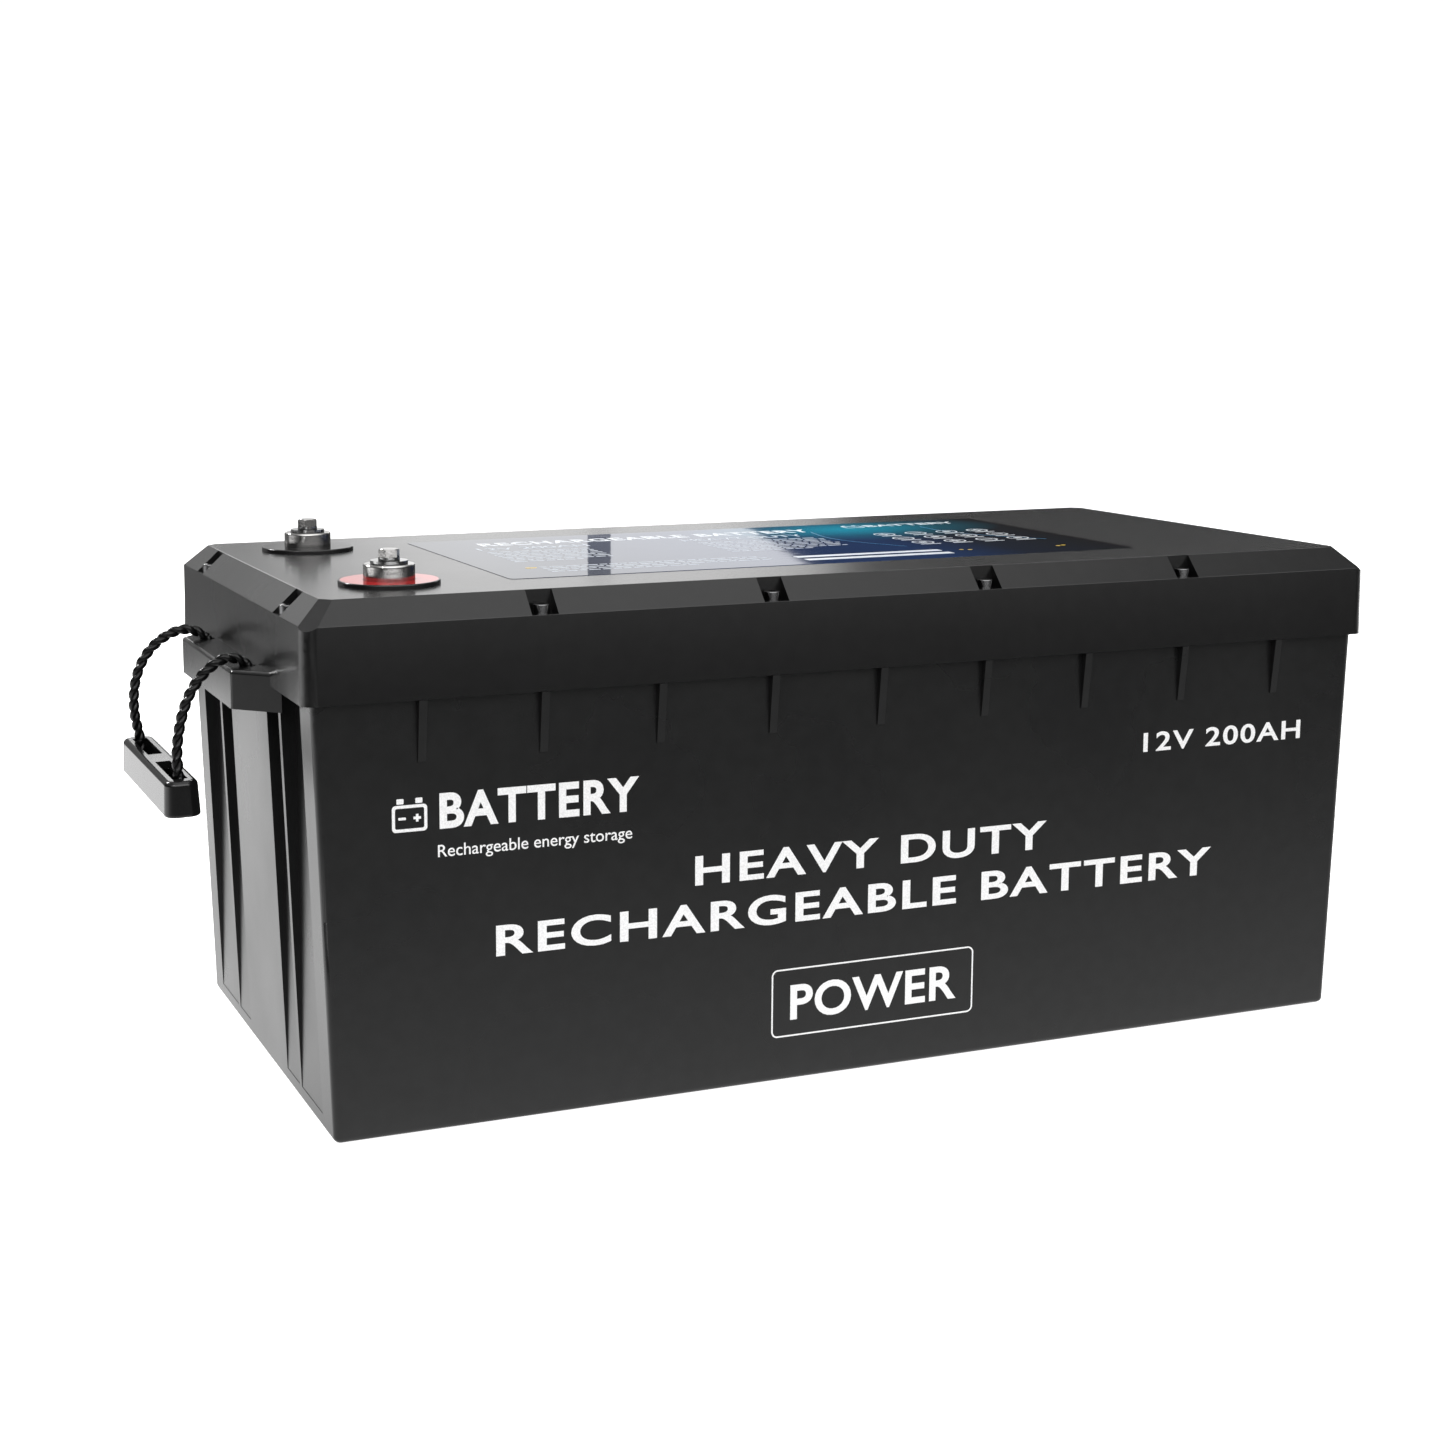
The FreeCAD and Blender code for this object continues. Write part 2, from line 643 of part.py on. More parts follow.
def make_terminal_bolt(name, y):
    head = hexagon(BOLT_FLATS, TERMINAL_X, y, HEAD_BOTTOM, HEAD_BOTTOM + BOLT_HEAD_HEIGHT)
    crown = Part.makeCone(5.9, 3.9, 2.0, Vector(TERMINAL_X, y, HEAD_BOTTOM + BOLT_HEAD_HEIGHT - 2.0))
    base = cylinder(5.9, TERMINAL_X, y, HEAD_BOTTOM, HEAD_BOTTOM + BOLT_HEAD_HEIGHT - 2.0)
    head = head.common(base.fuse(crown))
    shank = cylinder(BOLT_RADIUS, TERMINAL_X, y, HEAD_BOTTOM - BOLT_SHANK, HEAD_BOTTOM)
    save(name, head.fuse(shank))


# ---------------------------------------------------------------- handles
def save_both_ends(name, *solids):
    save(f"left_{name}", *solids)
    save(f"right_{name}", *[mirror_x(s) for s in solids])


def make_grips():
    body = tapered_block(
        GRIP_BOTTOM_WIDTH / 2,
        GRIP_HALF_LENGTH,
        GRIP_BOTTOM,
        GRIP_TOP_WIDTH / 2,
        GRIP_HALF_LENGTH - 0.5,
        GRIP_TOP,
    )
    body = body.makeFillet(GRIP_CORNER_RADIUS, upright_edges(body))
    body = body.makeFillet(GRIP_TOP_RADIUS, edges_at(body, GRIP_TOP))
    body = body.makeFillet(GRIP_BOTTOM_RADIUS, edges_at(body, GRIP_BOTTOM))
    half = GRIP_SLOT_WIDTH / 2
    floor = GRIP_ROPE_Z - ROPE_RADIUS - 1.2
    channel = block(-half, half, -GRIP_SLOT_TO, GRIP_SLOT_TO, floor, GRIP_TOP - 3.6)
    slot = block(-half, half, GRIP_SLOT_FROM, GRIP_SLOT_TO, floor, GRIP_TOP + 1)
    body = body.cut(Part.makeCompound([channel])).cut(slot).cut(mirror_y(slot))
    body.rotate(Vector(0, 0, GRIP_TOP), Vector(0, 1, 0), GRIP_TILT)
    body.translate(Vector(GRIP_X, 0, 0))
    save_both_ends("grip", body)


def grip_rope():
    """The rope's run through the grip, from one leg down, along the channel and up."""
    bend = GRIP_ROPE_BEND
    start = Vector(GRIP_X, -GRIP_ROPE_Y, GRIP_TOP)
    bend_top = Vector(GRIP_X, -GRIP_ROPE_Y, GRIP_ROPE_Z + bend)
    centre = Vector(GRIP_X, -GRIP_ROPE_Y + bend, GRIP_ROPE_Z + bend)
    slant = bend * math.sqrt(0.5)
    middle = centre + Vector(0, -slant, -slant)
    bottom = Vector(GRIP_X, -GRIP_ROPE_Y + bend, GRIP_ROPE_Z)
    far_bottom = Vector(GRIP_X, GRIP_ROPE_Y - bend, GRIP_ROPE_Z)
    far_middle = Vector(middle.x, -middle.y, middle.z)
    far_top = Vector(GRIP_X, GRIP_ROPE_Y, GRIP_ROPE_Z + bend)
    end = Vector(GRIP_X, GRIP_ROPE_Y, GRIP_TOP)
    wire = Part.Wire(
        [
            Part.LineSegment(start, bend_top).toShape(),
            Part.Arc(bend_top, middle, bottom).toShape(),
            Part.LineSegment(bottom, far_bottom).toShape(),
            Part.Arc(far_bottom, far_middle, far_top).toShape(),
            Part.LineSegment(far_top, end).toShape(),
        ]
    )
    profile = Part.Wire(Part.makeCircle(ROPE_RADIUS, start, Vector(0, 0, -1)))
    return wire.makePipeShell([profile], True, False)


def rope_anchor(side):
    """A rope end inside the ledge, up to the hole's mouth, with its stopper knot."""
    stub = tube([(x, side * ROPE_Y, z) for x, z in ROPE_STUB], ROPE_RADIUS)
    knot = Part.makeSphere(KNOT_RADIUS, Vector(ROPE_STUB[0][0], side * ROPE_Y, ROPE_STUB[0][1]))
    return stub.fuse(knot)


def make_ropes():
    rear = tube(ROPE_REAR, ROPE_RADIUS, "rope rear")
    front = tube(ROPE_FRONT, ROPE_RADIUS, "rope front")
    legs = Part.makeCompound([rear, front])
    save_both_ends("rope_rear", rear)
    save_both_ends("rope_front", front)
    save_both_ends("rope_in_grip", grip_rope().cut(legs))
    save_both_ends("rope_anchors", *[rope_anchor(side).cut(legs) for side in (-1, 1)])


# ---------------------------------------------------------------- cell pack
def cell_centres():
    first = PACK_X - (CELL_COUNT - 1) / 2 * CELL_PITCH
    return [first + i * CELL_PITCH for i in range(CELL_COUNT)]


def make_cells():
    half_x = CELL_THICKNESS / 2
    half_y = CELL_WIDTH / 2
    stacks = []
    for number, x in enumerate(cell_centres(), 1):
        can = block(x - half_x, x + half_x, -half_y, half_y, PACK_BOTTOM, CELL_TOP)
        can = can.makeFillet(2.0, upright_edges(can))
        space = block(
            x - half_x + CAN_WALL,
            x + half_x - CAN_WALL,
            -half_y + CAN_WALL,
            half_y - CAN_WALL,
            PACK_BOTTOM + CAN_WALL,
            CELL_TOP - 2 * CAN_WALL,
        )
        save(f"cell_can_{number}", can.cut(space.makeFillet(1.0, upright_edges(space))))
        stack_x, stack_y = half_x - 2.5, half_y - 3
        stack = block(x - stack_x, x + stack_x, -stack_y, stack_y, PACK_BOTTOM + 2, CELL_TOP - 13)
        stacks.append(stack.makeFillet(4.0, upright_edges(stack)))
    save("electrode_stacks", *stacks)


def stud_places():
    return [(x, side * STUD_Y) for x in cell_centres() for side in (-1, 1)]


def make_cell_terminals():
    made = []
    for x, y in stud_places():
        pad = cylinder(PAD_RADIUS, x, y, CELL_TOP, BUSBAR_Z)
        made.append(pad.fuse(cylinder(STUD_RADIUS, x, y, BUSBAR_Z, CELL_TOP + STUD_HEIGHT)))
    save("cell_terminals", *made)


def make_cell_nuts():
    made = []
    nut_bottom = BUSBAR_Z + BUSBAR_THICKNESS
    for x, y in stud_places():
        nut = hexagon(NUT_FLATS, x, y, nut_bottom, nut_bottom + NUT_HEIGHT)
        made.append(nut.cut(cylinder(STUD_RADIUS, x, y, nut_bottom - 1, nut_bottom + NUT_HEIGHT + 1)))
    save("cell_nuts", *made)


def make_cell_vents():
    made = []
    for x in cell_centres():
        vent = block(x - 6, x + 6, -12, 12, CELL_TOP, CELL_TOP + 0.8)
        made.append(vent.makeFillet(5.9, upright_edges(vent)))
    save("cell_vents", *made)


def busbar(x0, x1, y):
    half = BUSBAR_WIDTH / 2
    bar = block(x0 - half, x1 + half, y - half, y + half, BUSBAR_Z, BUSBAR_Z + BUSBAR_THICKNESS)
    bar = bar.makeFillet(4.0, upright_edges(bar))
    holes = [cylinder(STUD_RADIUS + CLEARANCE, x, y, BUSBAR_Z - 1, BUSBAR_Z + 5) for x in (x0, x1)]
    return bar.cut(Part.makeCompound(holes))


def make_busbars():
    centres = cell_centres()
    for i in range(CELL_COUNT - 1):
        side = 1 if i % 2 == 0 else -1
        save(f"busbar_{i + 1}", busbar(centres[i], centres[i + 1], side * STUD_Y))


def make_insulation():
    half_y = CELL_WIDTH / 2
    sheets = []
    for i in range(CELL_COUNT + 1):
        x = PACK_X - PACK_HALF_X + i * CELL_PITCH
        sheets.append(block(x, x + SHEET, -half_y, half_y, PACK_BOTTOM, CELL_TOP - 4))
    save("cell_insulation_sheets", *sheets)
    x0, x1 = PACK_X - PACK_HALF_X, PACK_X + PACK_HALF_X
    board = block(x0, x1, half_y, half_y + SHEET, PACK_BOTTOM, CELL_TOP - 4)
    save("side_insulation_boards", board, mirror_y(board))


def make_end_plates():
    half_y = CELL_WIDTH / 2 + SHEET
    x = PACK_X + PACK_HALF_X
    plate = block(x, x + END_PLATE, -half_y, half_y, PACK_BOTTOM, CELL_TOP - 6)
    window = block(x - 1, x + END_PLATE + 1, -56, 56, 78, 132)
    plate = plate.cut(window.makeFillet(8.0, [e for e in window.Edges if abs(e.tangentAt(0).x) > 0.9]))
    other = plate.mirror(Vector(PACK_X, 0, 0), Vector(1, 0, 0))
    save("pack_end_plates", plate, other)


def make_straps():
    half_x = PACK_HALF_X + END_PLATE
    half_y = CELL_WIDTH / 2 + SHEET
    straps = []
    for z in STRAP_HEIGHTS:
        outside = rounded_block(half_x + STRAP_THICKNESS, half_y + STRAP_THICKNESS, z, z + STRAP_WIDTH, 1)
        inside = centred_block(half_x, half_y, z - 1, z + STRAP_WIDTH + 1)
        strap = outside.cut(inside)
        strap.translate(Vector(PACK_X, 0, 0))
        straps.append(strap)
    save("pack_straps", *straps)


def make_base_pad():
    half_y = CELL_WIDTH / 2
    x0 = PACK_X - PACK_HALF_X
    x1 = PACK_X + PACK_HALF_X
    save("base_pad", block(x0, x1, -half_y, half_y, CASE_FLOOR, PACK_BOTTOM))


def lattice(x0, x1, y0, y1, z0, z1, columns, rows):
    """A foam block with upright square holes, which leave 14 mm webs."""
    web = 14.0
    step_x = (x1 - x0 - web) / columns
    step_y = (y1 - y0 - web) / rows
    holes = []
    for i in range(columns):
        for j in range(rows):
            hole_x = x0 + web + i * step_x
            hole_y = y0 + web + j * step_y
            far_x, far_y = hole_x + step_x - web, hole_y + step_y - web
            holes.append(block(hole_x, far_x, hole_y, far_y, z0 + 12, z1 + 1))
    return block(x0, x1, y0, y1, z0, z1).cut(Part.makeCompound(holes))


def make_foam():
    gap = 0.5
    pack_left = PACK_X - PACK_HALF_X - END_PLATE - STRAP_THICKNESS
    pack_right = PACK_X + PACK_HALF_X + END_PLATE + STRAP_THICKNESS
    end_x = CASE_TOP_LENGTH / 2 - RECESS_DEPTH - RECESS_BACKING - gap
    half_y = CAVITY_HALF_Y - 1.0
    floor = CASE_FLOOR
    sink_bottom = BOARD_Z - HEAT_SINK_THICKNESS
    save("foam_block_left", lattice(-end_x, pack_left - gap, -half_y, half_y, floor, sink_bottom, 2, 4))
    save("foam_block_right", lattice(pack_right + gap, end_x, -half_y, half_y, floor, 200, 2, 4))
    strap_y = CELL_WIDTH / 2 + SHEET + STRAP_THICKNESS
    side = block(pack_left + 1, pack_right - 1, strap_y + gap, half_y, floor, 196)
    save("foam_sides", side, mirror_y(side))


# ---------------------------------------------------------------- battery management board
def make_board():
    x0, x1 = BOARD_X
    y0, y1 = BOARD_Y
    board = block(x0, x1, y0, y1, BOARD_Z, BOARD_Z + BOARD_THICKNESS)
    save("management_board", board.makeFillet(4.0, upright_edges(board)))
    sink = block(x0 + 4, x1 - 4, y0 + 4, y1 - 4, BOARD_Z - HEAT_SINK_THICKNESS, BOARD_Z)
    grooves = []
    for i in range(11):
        y = y0 + 12 + i * 8.6
        grooves.append(block(x0, x1, y - 2, y + 2, 0, BOARD_Z - 2))
    save("board_heat_sink", sink.cut(Part.makeCompound(grooves)))


def make_board_parts():
    top = BOARD_Z + BOARD_THICKNESS
    transistors = []
    for x in (-205.0, -180.0):
        for i in range(8):
            y = -38.5 + 11 * i
            transistors.append(block(x - 5, x + 5, y - 4, y + 4, top, top + 4.4))
    save("power_transistors", *transistors)
    shunts = []
    for i in range(4):
        y = -24.0 + 16 * i
        bridge = block(-165, -149, y - 4, y + 4, top, top + 4)
        shunts.append(bridge.cut(block(-162, -152, y - 5, y + 5, top, top + 2.5)))
    save("current_shunts", *shunts)
    socket = block(-128, -112, -14, 14, top, top + 8)
    save("balance_connector", socket.makeFillet(1.5, upright_edges(socket)))


# ---------------------------------------------------------------- cables
def lug(x, y, z, toward):
    """A ring lug at a stud, with its barrel pointing along +1 or -1 in X."""
    plate = cylinder(8.0, x, y, z, z + BUSBAR_THICKNESS)
    x0, x1 = sorted((x, x + toward * 14))
    plate = plate.fuse(block(x0, x1, y - 5, y + 5, z, z + BUSBAR_THICKNESS))
    return plate.cut(cylinder(STUD_RADIUS + CLEARANCE, x, y, z - 1, z + 5))


def make_cables():
    positive_y = -TERMINAL_Y
    first, last = cell_centres()[0], cell_centres()[-1]
    lug_z = STEM_BOTTOM - BUSBAR_THICKNESS
    board_top = BOARD_Z + BOARD_THICKNESS
    lugs = (
        lug(TERMINAL_X, positive_y, lug_z, 1),
        lug(TERMINAL_X, TERMINAL_Y, lug_z, 1),
        lug(last, -STUD_Y, BUSBAR_Z, -1),
        lug(first, -STUD_Y, BUSBAR_Z, -1),
    )
    save("cable_lugs", *lugs)
    lug_shapes = Part.makeCompound(lugs)
    positive = (
        (last - 14, -STUD_Y, BUSBAR_Z + 1),
        (last - 24, -STUD_Y - 0.5, BUSBAR_Z + 1.3),
        (last - 34, -STUD_Y - 7, BUSBAR_Z + 1.3),
        (last - 43, -STUD_Y - 16.5, BUSBAR_Z + 1.2),
        (last - 56, -STUD_Y - 23, BUSBAR_Z + 1.1),
        (last - 100, -STUD_Y - 25, BUSBAR_Z + 1),
        (last - 150, -STUD_Y - 24, BUSBAR_Z + 1.1),
        (last - 205, -STUD_Y - 26, BUSBAR_Z + 0.9),
        (last - 255, -STUD_Y - 22.5, BUSBAR_Z),
        (TERMINAL_X + 26, positive_y - 0.3, lug_z + 1),
        (TERMINAL_X + 14, positive_y, lug_z + 1),
    )
    save("positive_cable", tube(positive, CABLE_RADIUS, "positive cable").cut(lug_shapes))
    pack_negative = (
        (first - 14, -STUD_Y, BUSBAR_Z + 1),
        (first - 36, -STUD_Y, BUSBAR_Z + 1),
        (first - 54, -STUD_Y + 4, CELL_TOP - 12),
        (first - 61, -STUD_Y + 10, CELL_TOP - 34),
        (first - 62, -STUD_Y + 13, board_top + 1),
    )
    save("pack_negative_cable", tube(pack_negative, CABLE_RADIUS, "pack negative cable").cut(lug_shapes))
    output = (
        (TERMINAL_X + 14, TERMINAL_Y, lug_z + 1),
        (TERMINAL_X + 32, TERMINAL_Y, lug_z - 2),
        (TERMINAL_X + 41, TERMINAL_Y - 8, lug_z - 20),
        (TERMINAL_X + 40, TERMINAL_Y - 18, lug_z - 38),
        (TERMINAL_X + 38, TERMINAL_Y - 20.5, board_top + 1),
    )
    save("output_negative_cable", tube(output, CABLE_RADIUS, "output negative cable").cut(lug_shapes))


def make_balance_leads():
    made = []
    places = [(cell_centres()[0], -STUD_Y)] + [(x, STUD_Y) for x in cell_centres()[:3:2]]
    places += [(cell_centres()[1], -STUD_Y), (cell_centres()[3], -STUD_Y)]
    for i, (x, y) in enumerate(sorted(places)):
        lane = -8.0 + 4.0 * i
        toward = 11.5 if y < 0 else -11.5
        route_points = (
            (-112, lane, BOARD_Z + 6),
            (-106, lane, BOARD_Z + 6),
            (-100, lane, CELL_TOP - 14),
            (-92, lane, CELL_TOP + 2.5),
            (-80 + 2 * i, lane * 1.1, CELL_TOP + 3),
            (x - 13, lane + 0.2 * y, CELL_TOP + 3),
            (x - 11, y + toward + 0.1 * (lane - y), CELL_TOP + 3),
            (x - 8, y + toward, CELL_TOP + 3.2),
        )
        made.append(tube(route_points, LEAD_RADIUS))
    save("balance_leads", *made)


def make_temperature_sensor():
    x = cell_centres()[1]
    bead = cylinder(2.4, x + 2, 24, CELL_TOP, CELL_TOP + 3)
    save("temperature_sensor", bead.makeFillet(1.0, edges_at(bead, CELL_TOP + 3)))


def main():
    os.makedirs("parts", exist_ok=True)
    make_case()
    make_lid()
    make_lid_gasket()
    make_lid_screws()
    make_top_label()
    for sign, y in (("positive", -TERMINAL_Y), ("negative", TERMINAL_Y)):
        make_terminal_collar(f"{sign}_terminal_collar", y)
        make_post(f"{sign}_post", y)
        make_washers(sign, y)
        make_terminal_bolt(f"{sign}_bolt", y)
    save("positive_polarity_ring", polarity_ring())
    make_post_seals()
    make_post_nuts()
    make_post_lug_bolts()
    make_grips()
    make_ropes()
    make_cells()
    make_cell_terminals()
    make_cell_nuts()
    make_cell_vents()
    make_busbars()
    make_insulation()
    make_end_plates()
    make_straps()
    make_base_pad()
    make_foam()
    make_board()
    make_board_parts()
    make_cables()
    make_balance_leads()
    make_temperature_sensor()


main()
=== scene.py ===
"""Looks of the deep cycle battery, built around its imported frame.

It holds the ropes, the materials, the printing, the light and the camera, in that order. Sizes are in metres.
+X runs along the battery, -Y is its front, +Z is up, and the origin is the middle of the underside.
"""
import json
import math
import random

import bmesh
import bpy
from mathutils import Matrix, Vector


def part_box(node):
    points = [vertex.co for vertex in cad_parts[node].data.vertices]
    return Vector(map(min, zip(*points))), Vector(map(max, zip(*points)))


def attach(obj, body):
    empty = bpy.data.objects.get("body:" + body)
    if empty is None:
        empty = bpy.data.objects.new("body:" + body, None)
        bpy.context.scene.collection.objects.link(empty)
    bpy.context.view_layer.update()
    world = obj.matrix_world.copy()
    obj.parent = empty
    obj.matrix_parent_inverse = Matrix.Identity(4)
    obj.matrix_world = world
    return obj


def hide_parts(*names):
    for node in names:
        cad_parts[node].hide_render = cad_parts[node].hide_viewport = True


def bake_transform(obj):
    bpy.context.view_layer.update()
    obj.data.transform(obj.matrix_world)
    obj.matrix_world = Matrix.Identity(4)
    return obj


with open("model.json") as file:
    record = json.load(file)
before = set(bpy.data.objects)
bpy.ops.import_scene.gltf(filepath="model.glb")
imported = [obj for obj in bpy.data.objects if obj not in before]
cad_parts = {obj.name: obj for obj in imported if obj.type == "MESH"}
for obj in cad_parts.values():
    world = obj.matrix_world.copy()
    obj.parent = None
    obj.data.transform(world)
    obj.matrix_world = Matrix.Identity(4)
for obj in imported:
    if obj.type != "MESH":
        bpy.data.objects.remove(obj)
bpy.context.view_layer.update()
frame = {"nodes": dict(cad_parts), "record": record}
NODES = frame["nodes"]

# ---------------------------------------------------------------- places, from the frame
LABEL_LOW, LABEL_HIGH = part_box("top_label")
LABEL_SIZE = LABEL_HIGH - LABEL_LOW
POSITIVE = sum(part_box("positive_post"), Vector()) / 2
NEGATIVE = sum(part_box("negative_post"), Vector()) / 2

# ---------------------------------------------------------------- rope
ROPE_LAY = 0.0102  # one full turn of the strands
STRANDS = 2
STRAND_RADIUS = 0.00155
STRAND_OFFSET = 0.0009
STRAND_SIDES = 14
STRAND_STEP = 0.0004  # between rings along a strand
REAR_LENGTH = 0.0742  # of the rear leg, from the ledge's hole to the grip
FRONT_LENGTH = 0.0681
HOLE_Y = 0.041  # of the ledge's two holes, before and behind the middle

# The left handle's two legs, from the ledge down to the grip.
ROPE_REAR = (
    (-0.2655, 0.0410, 0.1894),
    (-0.2687, 0.0411, 0.1922),
    (-0.2728, 0.0413, 0.1938),
    (-0.2774, 0.0415, 0.1939),
    (-0.2822, 0.0417, 0.1923),
    (-0.2874, 0.0419, 0.1893),
    (-0.2922, 0.0419, 0.1847),
    (-0.2960, 0.0418, 0.1789),
    (-0.2986, 0.0415, 0.1716),
    (-0.2997, 0.0412, 0.1636),
    (-0.2994, 0.0419, 0.1558),
    (-0.2978, 0.0436, 0.1491),
    (-0.2965, 0.0445, 0.1435),
)
ROPE_FRONT = (
    (-0.2655, -0.0410, 0.1894),
    (-0.2682, -0.0411, 0.1917),
    (-0.2717, -0.0413, 0.1930),
    (-0.2756, -0.0415, 0.1927),
    (-0.2799, -0.0416, 0.1904),
    (-0.2844, -0.0417, 0.1867),
    (-0.2886, -0.0417, 0.1816),
    (-0.2918, -0.0415, 0.1753),
    (-0.2941, -0.0413, 0.1682),
    (-0.2956, -0.0411, 0.1608),
    (-0.2964, -0.0416, 0.1540),
    (-0.2966, -0.0433, 0.1485),
    (-0.2965, -0.0445, 0.1435),
)
# From the knot inside the ledge up to the hole's mouth: x and z.
ROPE_STUB = ((-0.2619, 0.1775), (-0.2617, 0.1820), (-0.2627, 0.1860), (-0.2655, 0.1894))
# The run through the grip, from the front leg to the rear one: y and z.
GRIP_RUN = (
    (-0.0445, 0.1435),
    (-0.0445, 0.1395),
    (-0.0445, 0.1346),
    (-0.0375, 0.1346),
    (-0.0200, 0.1346),
    (0.0000, 0.1346),
    (0.0200, 0.1346),
    (0.0375, 0.1346),
    (0.0445, 0.1346),
    (0.0445, 0.1395),
    (0.0445, 0.1435),
)
GRIP_X = -0.2965
KNOT_TURNS = 2.25
KNOT_RADIUS = 0.0031
KNOT_HEIGHT = 0.0062
KNOT_RISE = 0.0022  # its first turn starts this far above the rope's end
KNOT_STEPS = 72
KNOT_CLOSE = 1.15  # the turns close in on the axis at 1 / this share of the height


def smooth_line(points):
    """Points read along the NURBS curve that has these control points."""
    curve = bpy.data.curves.new("route", "CURVE")
    curve.dimensions = "3D"
    curve.resolution_u = 24
    spline = curve.splines.new("NURBS")
    spline.points.add(len(points) - 1)
    for control, place in zip(spline.points, points):
        control.co = (*place, 1)
    spline.order_u = 3
    spline.use_endpoint_u = True
    holder = bpy.data.objects.new("route", curve)
    mesh = bpy.data.meshes.new_from_object(holder)
    line = [v.co.copy() for v in mesh.vertices]
    bpy.data.meshes.remove(mesh)
    bpy.data.curves.remove(curve)
    return line


def evenly(line, step):
    """The same line with points about step apart, and the distance along it to each."""
    along = [0.0]
    for a, b in zip(line, line[1:]):
        along.append(along[-1] + (b - a).length)
    count = max(2, round(along[-1] / step))
    spaced, distances, i = [], [], 0
    for n in range(count + 1):
        want = along[-1] * n / count
        while i < len(line) - 2 and along[i + 1] < want:
            i += 1
        share = (want - along[i]) / max(along[i + 1] - along[i], 1e-12)
        spaced.append(line[i].lerp(line[i + 1], share))
        distances.append(want)
    return spaced, distances


def frames_along(line):
    """A tangent and a side vector at each point, turned as little as possible from one to the next."""
    tangents = []
    for i in range(len(line)):
        tangents.append((line[min(i + 1, len(line) - 1)] - line[max(i - 1, 0)]).normalized())
    side = tangents[0].orthogonal().normalized()
    sides = []
    for tangent in tangents:
        side = (side - tangent * side.dot(tangent)).normalized()
        sides.append(side)
    return tangents, sides


def strand_mesh(name, line, tangents, sides, distances):
    """The rope's strands along a part of its line, each a closed tube with fibre UVs."""
    made = bmesh.new()
    uv_layer = made.loops.layers.uv.new("fibres")
    for strand in range(STRANDS):
        centres, rings = [], []
        for point, tangent, side, distance in zip(line, tangents, sides, distances):
            turn = math.tau * (distance / ROPE_LAY + strand / STRANDS)
            out = side * math.cos(turn) + tangent.cross(side) * math.sin(turn)
            centres.append((point + out * STRAND_OFFSET, out, tangent.cross(out), tangent))
        lean = math.atan(math.tau * STRAND_OFFSET / ROPE_LAY)
        for centre, out, around, tangent in centres:
            across = around * math.cos(lean) - tangent * math.sin(lean)
            ring = []
            for k in range(STRAND_SIDES):
                angle = math.tau * k / STRAND_SIDES
                offset = out * math.cos(angle) + across * math.sin(angle)
                ring.append(made.verts.new(centre + offset * STRAND_RADIUS))
            rings.append(ring)
        for i in range(len(rings) - 1):
            for k in range(STRAND_SIDES):
                after = (k + 1) % STRAND_SIDES
                quad = (rings[i][k], rings[i][after], rings[i + 1][after], rings[i + 1][k])
                face = made.faces.new(quad)
                face.smooth = True
                corners = ((k, i), (k + 1, i), (k + 1, i + 1), (k, i + 1))
                for loop, (u, v) in zip(face.loops, corners):
                    loop[uv_layer].uv = (u / STRAND_SIDES, distances[v] / ROPE_LAY)
        made.faces.new(list(reversed(rings[0])))
        made.faces.new(rings[-1])
    bmesh.ops.recalc_face_normals(made, faces=made.faces)
    mesh = bpy.data.meshes.new(name)
    made.to_mesh(mesh)
    made.free()
    piece = bpy.data.objects.new(name, mesh)
    bpy.context.scene.collection.objects.link(piece)
    return piece


def knot_line(top):
    """A barrel knot's turns round the rope, from the rope's axis out and down to a short tail."""
    line = []
    for n in range(KNOT_STEPS + 1):
        share = n / KNOT_STEPS
        swell = math.sin(math.pi * share * KNOT_CLOSE) ** 0.5 if share * KNOT_CLOSE < 1 else 0.0
        angle = math.tau * KNOT_TURNS * share
        out = KNOT_RADIUS * swell
        line.append(top + Vector((out * math.cos(angle), out * math.sin(angle), -KNOT_HEIGHT * share)))
    return line


def rope_route(mirror):
    """The whole rope of one handle in five stretches: stub, front leg, grip run, rear leg, stub."""
    front_stub = [(x, -HOLE_Y, z) for x, z in ROPE_STUB]
    rear_stub = [(x, HOLE_Y, z) for x, z in reversed(ROPE_STUB)]
    run = [(GRIP_X, y, z) for y, z in GRIP_RUN]
    stretches = (front_stub, ROPE_FRONT, run, tuple(reversed(ROPE_REAR)), rear_stub)
    return [[Vector((x * mirror, y, z)) for x, y, z in stretch] for stretch in stretches]


def whole_rope(mirror):
    """The rope's line, the distance to each point, the places where a stretch ends, and the stretches."""
    line, distances, ends, stretches = [], [], [0], []
    travelled = 0.0
    for stretch in rope_route(mirror):
        spaced, along = evenly(smooth_line(stretch), STRAND_STEP)
        stretches.append(spaced)
        first = 1 if line else 0
        line += spaced[first:]
        distances += [travelled + d for d in along[first:]]
        travelled += along[-1]
        ends.append(len(line) - 1)
    return line, distances, ends, stretches


